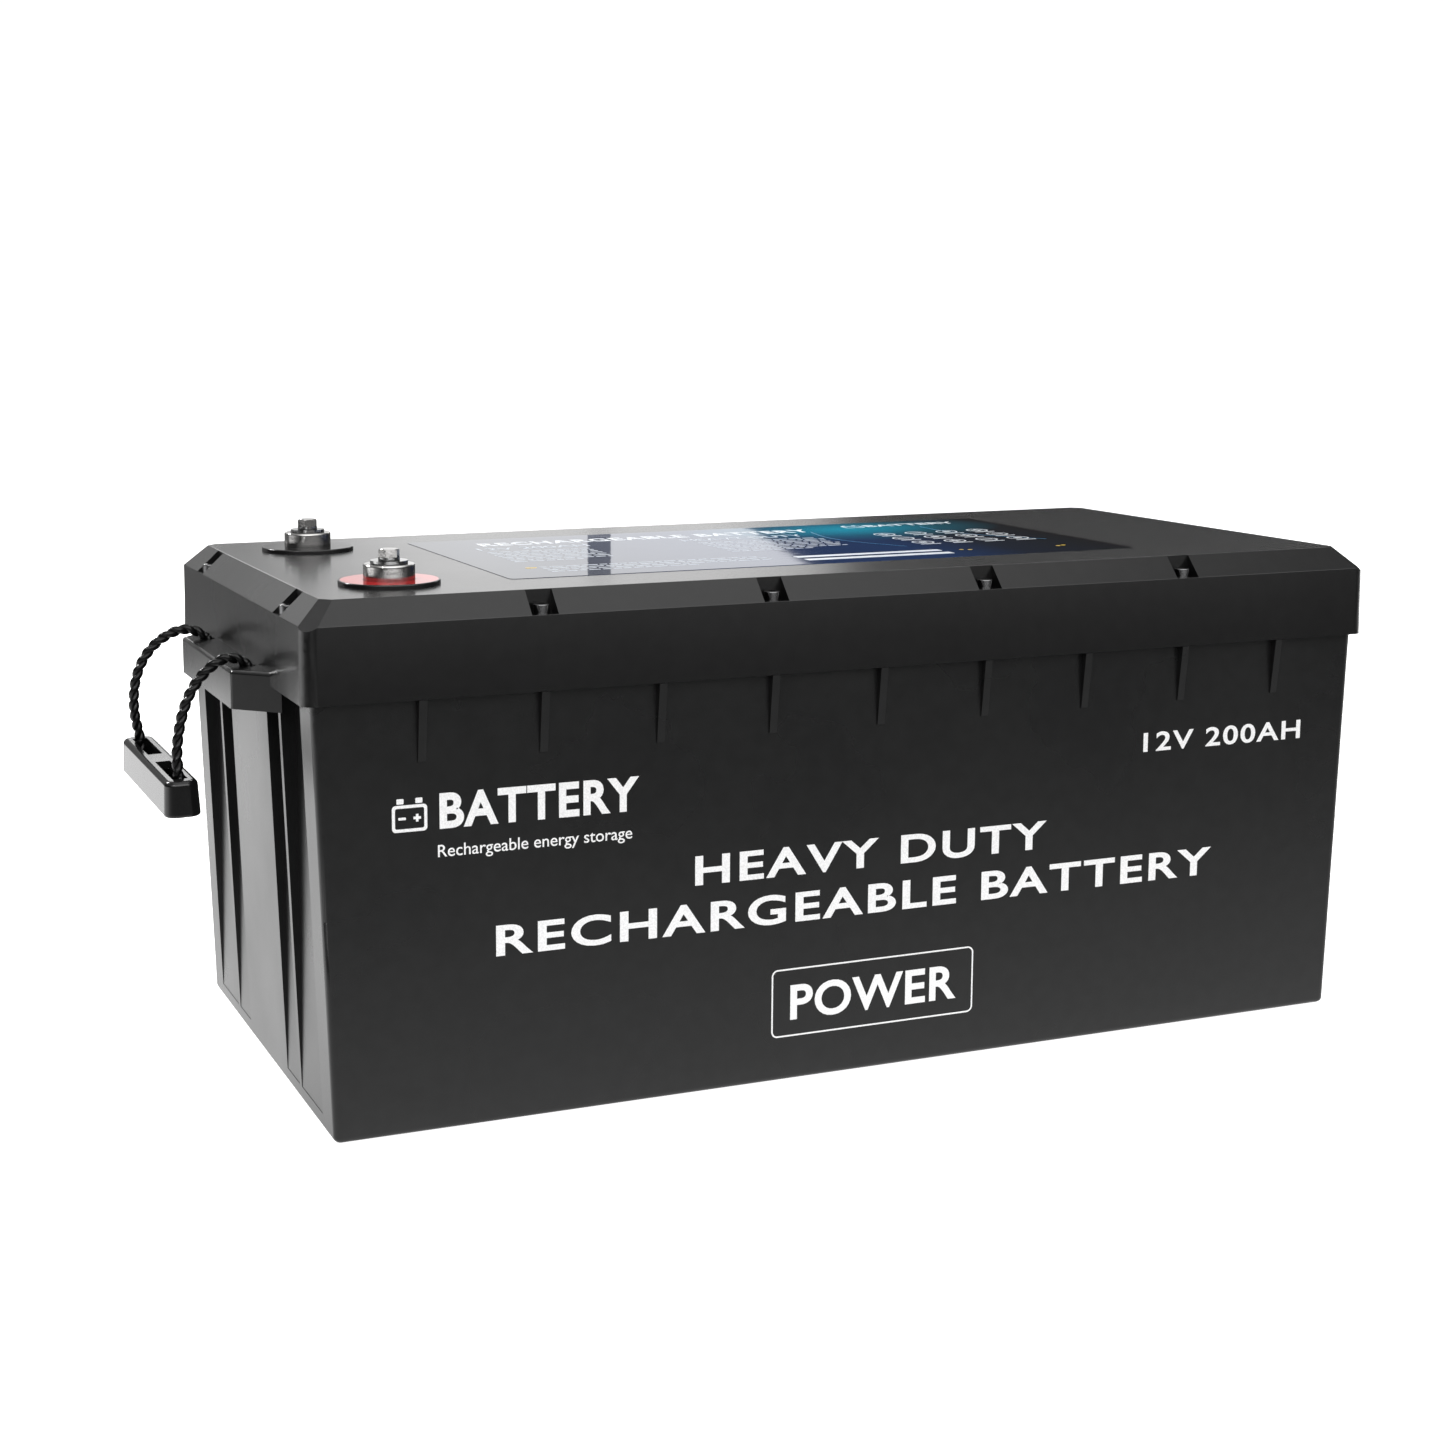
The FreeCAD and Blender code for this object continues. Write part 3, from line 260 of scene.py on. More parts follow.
def make_rope(side, mirror):
    handle = f"{side}_handle"
    line, distances, ends, stretches = whole_rope(mirror)
    tangents, sides = frames_along(line)
    pieces = {}
    for i, label in enumerate(("front_stub", "front_leg", "grip_run", "rear_leg", "rear_stub")):
        cut = slice(ends[i], ends[i + 1] + 1)
        name = f"{side}_rope_{label}"
        pieces[label] = strand_mesh(name, line[cut], tangents[cut], sides[cut], distances[cut])
    for label, leg, node, length in (
        ("front_leg", stretches[1], "rope_front", FRONT_LENGTH),
        ("rear_leg", list(reversed(stretches[3])), "rope_rear", REAR_LENGTH),
    ):
        piece = pieces[label]
        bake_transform(piece)
        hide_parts(f"{side}_{node}")
    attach(pieces["grip_run"], handle)
    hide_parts(f"{side}_rope_in_grip")
    for label in ("front_stub", "rear_stub"):
        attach(pieces[label], "housing")
        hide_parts(f"{side}_rope_anchors")
    for label, end in (("front_knot", line[0]), ("rear_knot", line[-1])):
        turns, along = evenly(knot_line(end + Vector((0, 0, KNOT_RISE))), STRAND_STEP)
        knot_tangents, knot_sides = frames_along(turns)
        pieces[label] = strand_mesh(f"{side}_rope_{label}", turns, knot_tangents, knot_sides, along)
        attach(pieces[label], "housing")
    for piece in pieces.values():
        piece.data.materials.append(MATERIALS["rope"])


# ---------------------------------------------------------------- material helpers
def maths_node(tree, operation, *values):
    node = tree.nodes.new("ShaderNodeMath")
    node.operation = operation
    for i, value in enumerate(values):
        if isinstance(value, (int, float)):
            node.inputs[i].default_value = value
        else:
            tree.links.new(value, node.inputs[i])
    return node.outputs[0]


def ramp_node(tree, value, stops):
    """A colour that follows value: stops are (position, grey level or colour)."""
    node = tree.nodes.new("ShaderNodeValToRGB")
    tree.links.new(value, node.inputs["Fac"])
    elements = node.color_ramp.elements
    while len(elements) < len(stops):
        elements.new(0.5)
    for element, (position, colour) in zip(elements, stops):
        element.position = position
        grey = isinstance(colour, (int, float))
        element.color = (colour, colour, colour, 1.0) if grey else (*colour, 1.0)
    return node.outputs["Color"]


def scaled_ramp(tree, value, low, high, stops):
    """The same over a value that runs from low to high: stops are (value, grey level)."""
    reach = tree.nodes.new("ShaderNodeMapRange")
    reach.inputs["From Min"].default_value = low
    reach.inputs["From Max"].default_value = high
    tree.links.new(value, reach.inputs["Value"])
    shares = [((where - low) / (high - low), level) for where, level in stops]
    return ramp_node(tree, reach.outputs["Result"], shares)


class Shader:
    """A node material with its principled shader, and short ways to add and join nodes."""

    def __init__(self, name, colour, roughness, metallic=0.0, **sockets):
        self.material = bpy.data.materials.new(name)
        self.material.use_nodes = True
        self.tree = self.material.node_tree
        self.surface = self.tree.nodes["Principled BSDF"]
        self.set(self.surface, "Base Color", (*colour, 1.0))
        self.set(self.surface, "Roughness", roughness)
        self.set(self.surface, "Metallic", metallic)
        for key, value in sockets.items():
            self.set(self.surface, key.replace("_", " "), value)
        self.place = self.tree.nodes.new("ShaderNodeTexCoord").outputs["Object"]

    @staticmethod
    def set(node, socket, value):
        node.inputs[socket].default_value = value

    def join(self, output, node, socket):
        self.tree.links.new(output, node.inputs[socket])

    def maths(self, operation, *values):
        return maths_node(self.tree, operation, *values)

    def length(self, x, y):
        """The length of the flat vector x, y."""
        squares = self.maths("ADD", self.maths("MULTIPLY", x, x), self.maths("MULTIPLY", y, y))
        return self.maths("SQRT", squares)

    def split(self, vector):
        node = self.tree.nodes.new("ShaderNodeSeparateXYZ")
        self.join(vector, node, "Vector")
        return node.outputs

    def combine(self, x, y, z):
        node = self.tree.nodes.new("ShaderNodeCombineXYZ")
        for socket, value in zip("XYZ", (x, y, z)):
            if isinstance(value, (int, float)):
                node.inputs[socket].default_value = value
            else:
                self.join(value, node, socket)
        return node.outputs[0]

    def noise(self, scale, detail=2.0, vector=None, roughness=0.5):
        node = self.tree.nodes.new("ShaderNodeTexNoise")
        self.set(node, "Scale", scale)
        self.set(node, "Detail", detail)
        self.set(node, "Roughness", roughness)
        self.join(self.place if vector is None else vector, node, "Vector")
        return node.outputs["Fac"]

    def ramp(self, value, *stops):
        return ramp_node(self.tree, value, stops)

    def colour(self, output):
        self.join(output, self.surface, "Base Color")

    def roughness(self, value, low, high):
        """Roughness from low to high as value goes over the middle of its range."""
        self.join(self.ramp(value, (0.3, low), (0.7, high)), self.surface, "Roughness")

    def bump(self, height, depth):
        """Relief of this height, where a height of 1 stands depth metres out. Calls add up."""
        node = self.tree.nodes.new("ShaderNodeBump")
        self.set(node, "Distance", depth)
        self.set(node, "Strength", 1.0)
        self.join(height, node, "Height")
        before = self.surface.inputs["Normal"].links
        if before:
            self.join(before[0].from_socket, node, "Normal")
        self.join(node.outputs["Normal"], self.surface, "Normal")


def moulded(name, colour, low, high, grain, depth, **sockets):
    """Moulded plastic: fine grain, slow waviness, and patches that are a little more or less shiny.

    Its roughness goes from low to high, and its grain is this many a metre and this deep.
    """
    m = Shader(name, colour, (low + high) / 2, **sockets)
    m.bump(m.noise(grain, 3.0), depth)
    m.bump(m.noise(18.0, 1.0), 0.00006)
    m.roughness(m.noise(9.0, 4.0), low, high)
    dark = tuple(c * 0.85 for c in colour)
    light = tuple(c * 1.2 for c in colour)
    m.colour(m.ramp(m.noise(140.0, 5.0), (0.35, dark), (0.65, light)))
    return m


def glossy_moulded(name, colour, gloss):
    """Polished mouldings: a sharp skin reflection over a duller body."""
    m = moulded(name, colour, 0.36, 0.46, 2200.0, 0.000006, Specular_IOR_Level=0.12)
    m.set(m.surface, "Coat Weight", 0.9)
    m.set(m.surface, "Coat Roughness", gloss)
    return m


def turned_metal(name, colour, centre, low, high):
    """Plated metal with lathe marks round an upright axis through centre."""
    m = Shader(name, colour, (low + high) / 2, 1.0)
    x, y, z = m.split(m.place)
    radius = m.length(m.maths("SUBTRACT", x, centre.x), m.maths("SUBTRACT", y, centre.y))
    marks = m.noise(5200.0, 2.0, m.combine(radius, 0.0, z))
    m.bump(marks, 0.000012)
    m.roughness(m.noise(420.0, 3.0), low, high)
    return m


def plain_metal(name, colour, low, high):
    m = Shader(name, colour, (low + high) / 2, 1.0)
    m.bump(m.noise(900.0, 4.0), 0.00001)
    m.roughness(m.noise(160.0, 4.0), low, high)
    dark = tuple(c * 0.8 for c in colour)
    m.colour(m.ramp(m.noise(70.0, 5.0), (0.3, dark), (0.7, colour)))
    return m


# ---------------------------------------------------------------- materials, one for each finish
GLOW_PLACE = (0.070, 0.052)  # middle of the label's glow, x and y
GLOW_REACH = (0.088, 0.052)  # how far it fades in x and in y
GLOW_COLOUR = (0.004, 0.44, 0.64, 1.0)
BOARD_CELL = 0.0025  # side of the board's little squares of copper


def rope_material():
    """Shiny black fibre that runs slantwise along each strand."""
    m = Shader("rope", (0.003, 0.003, 0.003), 0.2, Specular_IOR_Level=0.28)
    uv = m.tree.nodes.new("ShaderNodeUVMap")
    uv.uv_map = "fibres"
    u, v, _ = m.split(uv.outputs["UV"])
    slanted = m.combine(m.maths("ADD", u, m.maths("MULTIPLY", v, 0.35)), m.maths("MULTIPLY", v, 0.6), 0.0)
    fibres = m.noise(34.0, 3.0, slanted, 0.65)
    m.bump(fibres, 0.00006)
    m.roughness(fibres, 0.12, 0.26)
    m.colour(m.ramp(fibres, (0.35, (0.001, 0.001, 0.001)), (0.7, (0.005, 0.005, 0.0053))))
    return m


def label_material():
    """The lid's printed film: navy that darkens to its right, with a teal glow behind the small word."""
    m = Shader("label_film", (0.004, 0.010, 0.030), 0.035)
    x, y, _ = m.split(m.place)
    across = m.maths("DIVIDE", m.maths("SUBTRACT", x, LABEL_LOW.x), LABEL_SIZE.x)
    navy = m.ramp(
        across,
        (0.00, (0.002, 0.008, 0.030)),
        (0.50, (0.004, 0.030, 0.120)),
        (0.68, (0.004, 0.034, 0.130)),
        (0.82, (0.002, 0.008, 0.024)),
        (1.00, (0.0012, 0.0016, 0.003)),
    )
    dx = m.maths("DIVIDE", m.maths("SUBTRACT", x, GLOW_PLACE[0]), GLOW_REACH[0])
    dy = m.maths("DIVIDE", m.maths("SUBTRACT", y, GLOW_PLACE[1]), GLOW_REACH[1])
    glow = m.ramp(m.length(dx, dy), (0.0, 1.0), (0.3, 0.62), (0.6, 0.22), (1.0, 0.0))
    blend = m.tree.nodes.new("ShaderNodeMix")
    blend.data_type = "RGBA"
    colours = [socket for socket in blend.inputs if socket.type == "RGBA"]
    m.join(glow, blend, "Factor")
    m.tree.links.new(navy, colours[0])
    colours[1].default_value = GLOW_COLOUR
    m.colour(next(socket for socket in blend.outputs if socket.type == "RGBA"))
    m.bump(m.noise(60.0, 2.0), 0.00002)
    return m


def polarity_film():
    m = Shader("red_film", (0.62, 0.012, 0.014), 0.16, Coat_Weight=0.6, Coat_Roughness=0.05)
    m.bump(m.noise(700.0, 2.0), 0.000006)
    m.colour(m.ramp(m.noise(90.0, 3.0), (0.3, (0.55, 0.010, 0.012)), (0.7, (0.70, 0.016, 0.018))))
    return m


def foam_material():
    m = Shader("foam", (0.07, 0.07, 0.072), 0.9)
    cells = m.noise(1400.0, 4.0)
    m.bump(cells, 0.0004)
    m.colour(m.ramp(cells, (0.3, 0.03), (0.7, 0.10)))
    return m


def board_material():
    m = Shader("board_laminate", (0.010, 0.09, 0.035), 0.32, Coat_Weight=0.4, Coat_Roughness=0.15)
    x, y, _ = m.split(m.place)
    squares = m.combine(m.maths("SNAP", x, BOARD_CELL), m.maths("SNAP", y, BOARD_CELL), 0.0)
    cells = m.noise(380.0, 0.0, squares)
    m.colour(m.ramp(cells, (0.45, (0.006, 0.065, 0.024)), (0.55, (0.016, 0.13, 0.052))))
    m.bump(cells, 0.00003)
    return m


# Name: colour, lowest and highest roughness, grain, grain depth.
PLASTICS = {
    "case_plastic": ((0.0062, 0.0063, 0.0064), 0.24, 0.33, 1500.0, 0.00004),
    "grip_plastic": ((0.0062, 0.0063, 0.0064), 0.12, 0.18, 1800.0, 0.000010),
    "collar_plastic": ((0.008, 0.008, 0.008), 0.14, 0.22, 2200.0, 0.000008),
    "component_plastic": ((0.02, 0.02, 0.021), 0.4, 0.6, 1500.0, 0.00003),
    "insulation_sheet": ((0.03, 0.16, 0.09), 0.4, 0.55, 900.0, 0.00004),
    "seal_rubber": ((0.012, 0.012, 0.012), 0.6, 0.8, 1300.0, 0.00003),
    "cable_red": ((0.42, 0.012, 0.012), 0.38, 0.5, 900.0, 0.00003),
    "cable_black": ((0.012, 0.012, 0.012), 0.38, 0.5, 900.0, 0.00003),
}
# Name: colour, lowest and highest roughness.
METALS = {
    "black_steel": ((0.26, 0.26, 0.265), 0.12, 0.24),
    "washer_steel": ((0.62, 0.62, 0.62), 0.06, 0.14),
    "bolt_steel": ((0.60, 0.59, 0.58), 0.05, 0.13),
    "plated_nut": ((0.62, 0.60, 0.55), 0.22, 0.4),
    "strap_steel": ((0.62, 0.61, 0.60), 0.25, 0.45),
    "cell_aluminium": ((0.72, 0.73, 0.75), 0.3, 0.45),
    "electrode_foil": ((0.16, 0.16, 0.17), 0.45, 0.6),
    "copper_bar": ((0.78, 0.38, 0.22), 0.2, 0.4),
}
POST_PLATING = (0.60, 0.59, 0.58)


def make_materials():
    """One material for each slot of the record, by the slot's name."""
    shaders = {name: moulded(name, *values) for name, values in PLASTICS.items()}
    for name, values in METALS.items():
        shaders[name] = plain_metal(name, *values)
    shaders["lid_plastic"] = glossy_moulded("lid_plastic", (0.0036, 0.0036, 0.0037), 0.18)
    shaders["rope"] = rope_material()
    shaders["label_film"] = label_material()
    shaders["red_film"] = polarity_film()
    shaders["foam"] = foam_material()
    shaders["board_laminate"] = board_material()
    return {name: shader.material for name, shader in shaders.items()}


def dress_nodes():
    """Gives every CAD node its slot's material; each post's lathe marks run round its own axis."""
    posts = {
        "positive_post": turned_metal("positive_plating", POST_PLATING, POSITIVE, 0.05, 0.14),
        "negative_post": turned_metal("negative_plating", POST_PLATING, NEGATIVE, 0.05, 0.14),
    }
    for subpart in frame["record"]["subparts"]:
        name = subpart["node"]
        materials = NODES[name].data.materials
        materials.clear()
        materials.append(posts[name].material if name in posts else MATERIALS[subpart["material_slot"]])


MATERIALS = make_materials()
dress_nodes()
make_rope("left", 1)
make_rope("right", -1)


# ---------------------------------------------------------------- printing
PRINT_THICKNESS = 0.00006
PRINT_SINK = 0.00002  # how deep it sits in the surface
LABEL_TOP = LABEL_HIGH.z
BAR_HEIGHT = 0.0017  # of a line of fine print
BAR_PITCH = 0.0056  # from one line to the next
BAR_GAP = 0.0011  # between two words of a line
CIRCLE_SIDES = 28
RING_RADIUS = 0.0056
RING_LINE = 0.0008
RING_PITCH = (0.018, 0.0195)
SWEEP_BOW = 0.010
SWEEP_WIDTH = 0.0006


def ink(name, colour, roughness=0.42):
    m = Shader(name, colour, roughness)
    light = tuple(min(1.0, c * 1.08) for c in colour)
    dark = tuple(c * 0.90 for c in colour)
    m.colour(m.ramp(m.noise(1600.0, 3.0), (0.35, dark), (0.65, light)))
    m.bump(m.noise(2400.0, 2.0), 0.00001)
    return m.material


def front_wall(x, z):
    """The point of the case's front wall at this x and z, and its outward normal."""
    _, place, normal, _ = NODES["case"].ray_cast(Vector((x, -1.0, z)), Vector((0, 1, 0)))
    return place, normal


def front_piece(name, mesh, x, z, material):
    """Sets a mesh drawn in its own XY plane on the front wall, at this x and z."""
    place, normal = front_wall(x, z)
    up = Vector((0, 0, 1))
    up = (up - normal * up.dot(normal)).normalized()
    turn = Matrix((up.cross(normal), up, normal)).transposed().to_4x4()
    mesh.transform(Matrix.Translation(place - normal * PRINT_SINK) @ turn)
    printed(name, mesh, material)


def label_piece(name, mesh, x, y, material):
    """Sets a mesh drawn in its own XY plane on the lid's label, at this x and y."""
    mesh.transform(Matrix.Translation((x, y, LABEL_TOP - PRINT_SINK)))
    printed(name, mesh, material)


def printed(name, mesh, material):
    piece = bpy.data.objects.new(name, mesh)
    bpy.context.scene.collection.objects.link(piece)
    mesh.materials.clear()
    mesh.materials.append(material)
    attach(piece, "housing")


def word_mesh(text, height, width, weight=0.0, gap=1.0):
    """Lettering in the built-in font, centred, with this cap height and overall width."""
    curve = bpy.data.curves.new("word", "FONT")
    curve.body = text
    curve.align_x = "CENTER"
    curve.space_character = gap
    curve.resolution_u = 6
    curve.offset = weight
    curve.extrude = 0.5
    holder = bpy.data.objects.new("word", curve)
    mesh = bpy.data.meshes.new_from_object(holder)
    bpy.data.curves.remove(curve)
    low = Vector([min(v.co[i] for v in mesh.vertices) for i in range(3)])
    high = Vector([max(v.co[i] for v in mesh.vertices) for i in range(3)])
    size = high - low
    middle = (low + high) / 2
    scale = Matrix.Diagonal((width / size.x, height / size.y, PRINT_THICKNESS / size.z, 1))
    mesh.transform(scale @ Matrix.Translation((-middle.x, -middle.y, -low.z)))
    return mesh


def outline_mesh(outlines):
    """A flat printed shape from closed outlines; a later outline inside an earlier one is a hole."""
    curve = bpy.data.curves.new("shape", "CURVE")
    curve.dimensions = "2D"
    curve.fill_mode = "BOTH"
    curve.extrude = PRINT_THICKNESS / 2
    for outline in outlines:
        spline = curve.splines.new("POLY")
        spline.points.add(len(outline) - 1)
        for control, (x, y) in zip(spline.points, outline):
            control.co = (x, y, 0, 1)
        spline.use_cyclic_u = True
    holder = bpy.data.objects.new("shape", curve)
    mesh = bpy.data.meshes.new_from_object(holder)
    bpy.data.curves.remove(curve)
    mesh.transform(Matrix.Translation((0, 0, PRINT_THICKNESS / 2)))
    return mesh


def rounded_outline(width, height, radius, x=0.0, y=0.0):
    points = []
    corners = ((1, 1, 0), (-1, 1, 90), (-1, -1, 180), (1, -1, 270))
    for sx, sy, start in corners:
        for n in range(9):
            angle = math.radians(start + 90 * n / 8)
            px = sx * (width / 2 - radius) + radius * math.cos(angle)
            py = sy * (height / 2 - radius) + radius * math.sin(angle)
            points.append((x + px, y + py))
    return points


def cross_outline(reach, half, x, y):
    """A plus sign whose arms reach this far from its middle and are twice half wide."""
    quarter = ((reach, -half), (reach, half), (half, half))
    points = []
    for turn in range(4):
        for px, py in quarter:
            for _ in range(turn):
                px, py = -py, px
            points.append((x + px, y + py))
    return points


def circle_outline(radius, x, y):
    turns = [math.tau * n / CIRCLE_SIDES for n in range(CIRCLE_SIDES)]
    return [(x + radius * math.cos(turn), y + radius * math.sin(turn)) for turn in turns]


def battery_outlines(outer, inner, drop, knob, knob_x, knob_y):
    """A battery's symbol: a frame and two terminals, each box of it (width, height, radius)."""
    outlines = [rounded_outline(*box, 0.0, -drop) for box in (outer, inner)]
    for x in (-knob_x, knob_x):
        outlines.append(rounded_outline(*knob, x, knob_y))
    return outlines


def print_front():
    white = ink("white_ink", (0.92, 0.92, 0.92))
    battery = battery_outlines(
        (0.0150, 0.0112, 0.0016), (0.0124, 0.0086, 0.0008), 0.0014, (0.0030, 0.0022, 0.0004), 0.0040, 0.0058
    )
    signs = [
        rounded_outline(0.0032, 0.0011, 0.0003, -0.0032, -0.0014),
        cross_outline(0.0016, 0.00055, 0.0032, -0.0014),
    ]
    front_piece("front_battery_mark", outline_mesh(battery + signs), -0.2166, 0.1357, white)
    words = (
        ("front_word_battery", "BATTERY", 0.0150, 0.0885, -0.1596, 0.1362, 0.032, 1.10),
        ("front_word_small", "Rechargeable energy storage", 0.0068, 0.0862, -0.1616, 0.1186, 0.004, 1.0),
        ("front_word_duty", "HEAVY DUTY", 0.0132, 0.1765, -0.0009, 0.0996, 0.022, 1.14),
        ("front_word_kind", "RECHARGEABLE BATTERY", 0.0135, 0.3590, -0.0003, 0.0786, 0.022, 1.14),
        ("front_word_boxed", "POWER", 0.0162, 0.0840, -0.0008, 0.0354, 0.022, 1.06),
        ("front_word_rating", "12V 200AH", 0.0092, 0.0895, 0.1837, 0.1386, 0.018, 1.12),
    )
    for name, text, height, width, x, z, weight, gap in words:
        front_piece(name, word_mesh(text, height, width, weight, gap), x, z, white)
    box = [rounded_outline(0.1020, 0.0310, 0.0030), rounded_outline(0.1006, 0.0296, 0.0023)]
    front_piece("front_word_frame", outline_mesh(box), -0.0010, 0.0355, white)


def bars(rows, width, seed):
    """Rows of short bars of uneven length, as fine print looks from a step away."""
    draw = random.Random(seed)
    outlines = []
    for row in range(rows):
        start = -width / 2
        end = width / 2 * (1 if row < rows - 1 else 0.3)
        while start < end - 0.002:
            length = min(draw.uniform(0.0025, 0.0085), end - start)
            middle = start + length / 2
            outlines.append(rounded_outline(length, BAR_HEIGHT, BAR_HEIGHT * 0.3, middle, -row * BAR_PITCH))
            start += length + BAR_GAP
    return outlines


def ring_marks():
    """Three rows of four rings, with a cross, a bar or a block in each and a line under it."""
    rings, marks = [], []
    for row in range(3):
        for column in range(4):
            x, y = RING_PITCH[0] * (column - 1.5), RING_PITCH[1] * (1 - row)
            rings += [circle_outline(RING_RADIUS, x, y), circle_outline(RING_RADIUS - RING_LINE, x, y)]
            kind = (row + column) % 3
            if kind == 0:
                marks.append(cross_outline(0.0032, 0.00055, x, y))
            elif kind == 1:
                marks.append(rounded_outline(0.0064, 0.0011, 0.0004, x, y))
            else:
                marks.append(rounded_outline(0.0040, 0.0030, 0.0008, x, y))
            rings.append(rounded_outline(0.0110, 0.0012, 0.0003, x, y - 0.0078))
    return rings + marks


def sweep_outline(start, end):
    """A thin line from start to end that bows towards -X."""
    line = []
    for n in range(25):
        share = n / 24
        bow = SWEEP_BOW * math.sin(math.pi * share)
        x = start[0] + (end[0] - start[0]) * share - bow
        line.append((x, start[1] + (end[1] - start[1]) * share))
    return line + [(x + SWEEP_WIDTH, y) for x, y in reversed(line)]


def print_label():
    silver = ink("silver_ink", (0.55, 0.60, 0.66), 0.3)
    pale = ink("pale_ink", (0.80, 0.84, 0.88), 0.3)
    yellow = ink("yellow_ink", (0.78, 0.52, 0.02), 0.35)
    cyan = ink("cyan_ink", (0.02, 0.18, 0.34), 0.35)
    battery = battery_outlines(
        (0.0110, 0.0082, 0.0012), (0.0092, 0.0064, 0.0006), 0.0010, (0.0022, 0.0016, 0.0003), 0.0030, 0.0043
    )
    label_piece("label_battery_mark", outline_mesh(battery), 0.0790, 0.0610, pale)
    words = (
        ("label_word_battery", "BATTERY", 0.0082, 0.0530, 0.1130, 0.0610, 0.02, 1.0, pale),
        ("label_word_main", "RECHARGEABLE BATTERY", 0.0125, 0.1780, -0.0400, 0.0530, 0.03, 1.1, pale),
        ("label_word_rating", "12V 200AH", 0.0085, 0.0560, -0.1080, 0.0340, 0.01, 1.0, silver),
        ("label_word_side", "HEAVY DUTY", 0.0085, 0.0660, 0.0030, 0.0340, 0.01, 1.0, silver),
    )
    for name, text, height, width, x, y, weight, gap, colour in words:
        label_piece(name, word_mesh(text, height, width, weight, gap), x, y, colour)
    blocks = (
        ("label_lines_left", 8, 0.052, 11, -0.1100, 0.0210),
        ("label_lines_middle", 8, 0.066, 12, 0.0060, 0.0210),
        ("label_lines_front", 4, 0.110, 13, -0.0780, -0.0420),
    )
    for name, rows, width, seed, x, y in blocks:
        label_piece(name, outline_mesh(bars(rows, width, seed)), x, y, silver)
    label_piece("label_rings", outline_mesh(ring_marks()), 0.1035, 0.0020, pale)
    for name, height, y in (("label_strip_rear", 0.0056, -0.0505), ("label_strip_front", 0.0060, -0.0617)):
        label_piece(name, outline_mesh([rounded_outline(0.0765, height, 0.0008)]), 0.0285, y, pale)
    spots = ((0.1325, -0.0549), (0.1290, -0.0560), (0.0809, -0.0545), (0.0770, -0.0530))
    dots = [circle_outline(0.0011, x, y) for x, y in spots]
    dots.append(rounded_outline(0.0052, 0.0022, 0.0005, -0.1370, -0.0430))
    label_piece("label_yellow_dots", outline_mesh(dots), 0.0, 0.0, yellow)
    sweeps = [
        sweep_outline((0.047, 0.046), (0.060, -0.030)),
        sweep_outline((0.112, 0.048), (0.140, -0.028)),
    ]
    label_piece("label_sweep_line", outline_mesh(sweeps), 0.0, 0.0, cyan)


print_front()
print_label()

# ---------------------------------------------------------------- floor, light, camera
ROOM = 6.0
BACK_Y = 2.0  # of the wide card behind the battery
NEAR_BACK_Y = 1.96  # of the small cards in front of it
KEY_STRENGTH = 2.8  # of the soft light that fills the front upper quarter of the room

# Strength of each card's light from place to place, along the axis named where it is used.
FLOOR_LIGHT = (
    (-2.5, 1.8), (-2.1, 1.5), (-1.85, 0.04), (-1.1, 0.05), (-0.5, 0.35), (-0.15, 0.85),
    (0.0, 1.45), (0.8, 1.60), (0.93, 1.0), (1.12, 0.28), (1.3, 0.15),
)
BACK_LIGHT = (
    (-1.5, 0.18), (-0.3, 0.26), (0.2, 0.40), (0.27, 0.73), (0.38, 0.96), (0.44, 1.10),
    (0.53, 1.14), (0.75, 1.08), (1.05, 1.08), (1.13, 0.05), (1.3, 0.03), (2.4, 0.03),
)
OVERHEAD_LIGHT = ((-0.8, 1.0), (0.1, 1.35), (0.5, 1.3), (0.8, 0.85), (1.05, 0.5), (1.3, 0.2))


def corner_card(name, corners, material):
    """A flat stage card with these four corners."""
    mesh = bpy.data.meshes.new(name)
    mesh.from_pydata(corners, [], [(0, 1, 2, 3)])
    mesh.materials.append(material)
    card = bpy.data.objects.new(name, mesh)
    bpy.context.scene.collection.objects.link(card)
    return card


def square_card(name, low, high, material):
    """A flat stage card from low to high, one of whose sizes is nothing."""
    thin = min(range(3), key=lambda i: abs(high[i] - low[i]))
    a, b = [i for i in range(3) if i != thin]
    corners = []
    for far_a, far_b in ((0, 0), (1, 0), (1, 1), (0, 1)):
        corner = list(low)
        corner[a] = (low, high)[far_a][a]
        corner[b] = (low, high)[far_b][b]
        corners.append(corner)
    return corner_card(name, corners, material)


def glow_material(name, axis, low, high, stops):
    """Light whose strength changes along one axis, between low and high: stops are (place, strength)."""
    material = bpy.data.materials.new(name)
    material.use_nodes = True
    tree = material.node_tree
    tree.nodes.clear()
    out = tree.nodes.new("ShaderNodeOutputMaterial")
    light = tree.nodes.new("ShaderNodeEmission")
    place = tree.nodes.new("ShaderNodeTexCoord")
    split = tree.nodes.new("ShaderNodeSeparateXYZ")
    tree.links.new(place.outputs["Object"], split.inputs["Vector"])
    top = max(strength for _, strength in stops)
    shares = [(where, strength / top) for where, strength in stops]
    colour = scaled_ramp(tree, split.outputs[axis], low, high, shares)
    tree.links.new(colour, light.inputs["Color"])
    light.inputs["Strength"].default_value = top
    tree.links.new(light.outputs["Emission"], out.inputs["Surface"])
    return material


def camera_only(thing):
    thing.visible_diffuse = False
    thing.visible_glossy = False
    thing.visible_transmission = False
    thing.visible_shadow = False


def light_only(thing):
    thing.visible_camera = False
    thing.visible_shadow = False


def area_light(name, place, aim, side, radiance):
    """A square lamp whose surface has this radiance."""
    lamp = bpy.data.lights.new(name, "AREA")
    lamp.shape = "SQUARE"
    lamp.size = side
    lamp.energy = radiance * math.pi * side**2
    holder = bpy.data.objects.new(name, lamp)
    bpy.context.scene.collection.objects.link(holder)
    holder.location = place
    holder.rotation_euler = (Vector(aim) - Vector(place)).to_track_quat("-Z", "Y").to_euler()
    holder.visible_camera = False


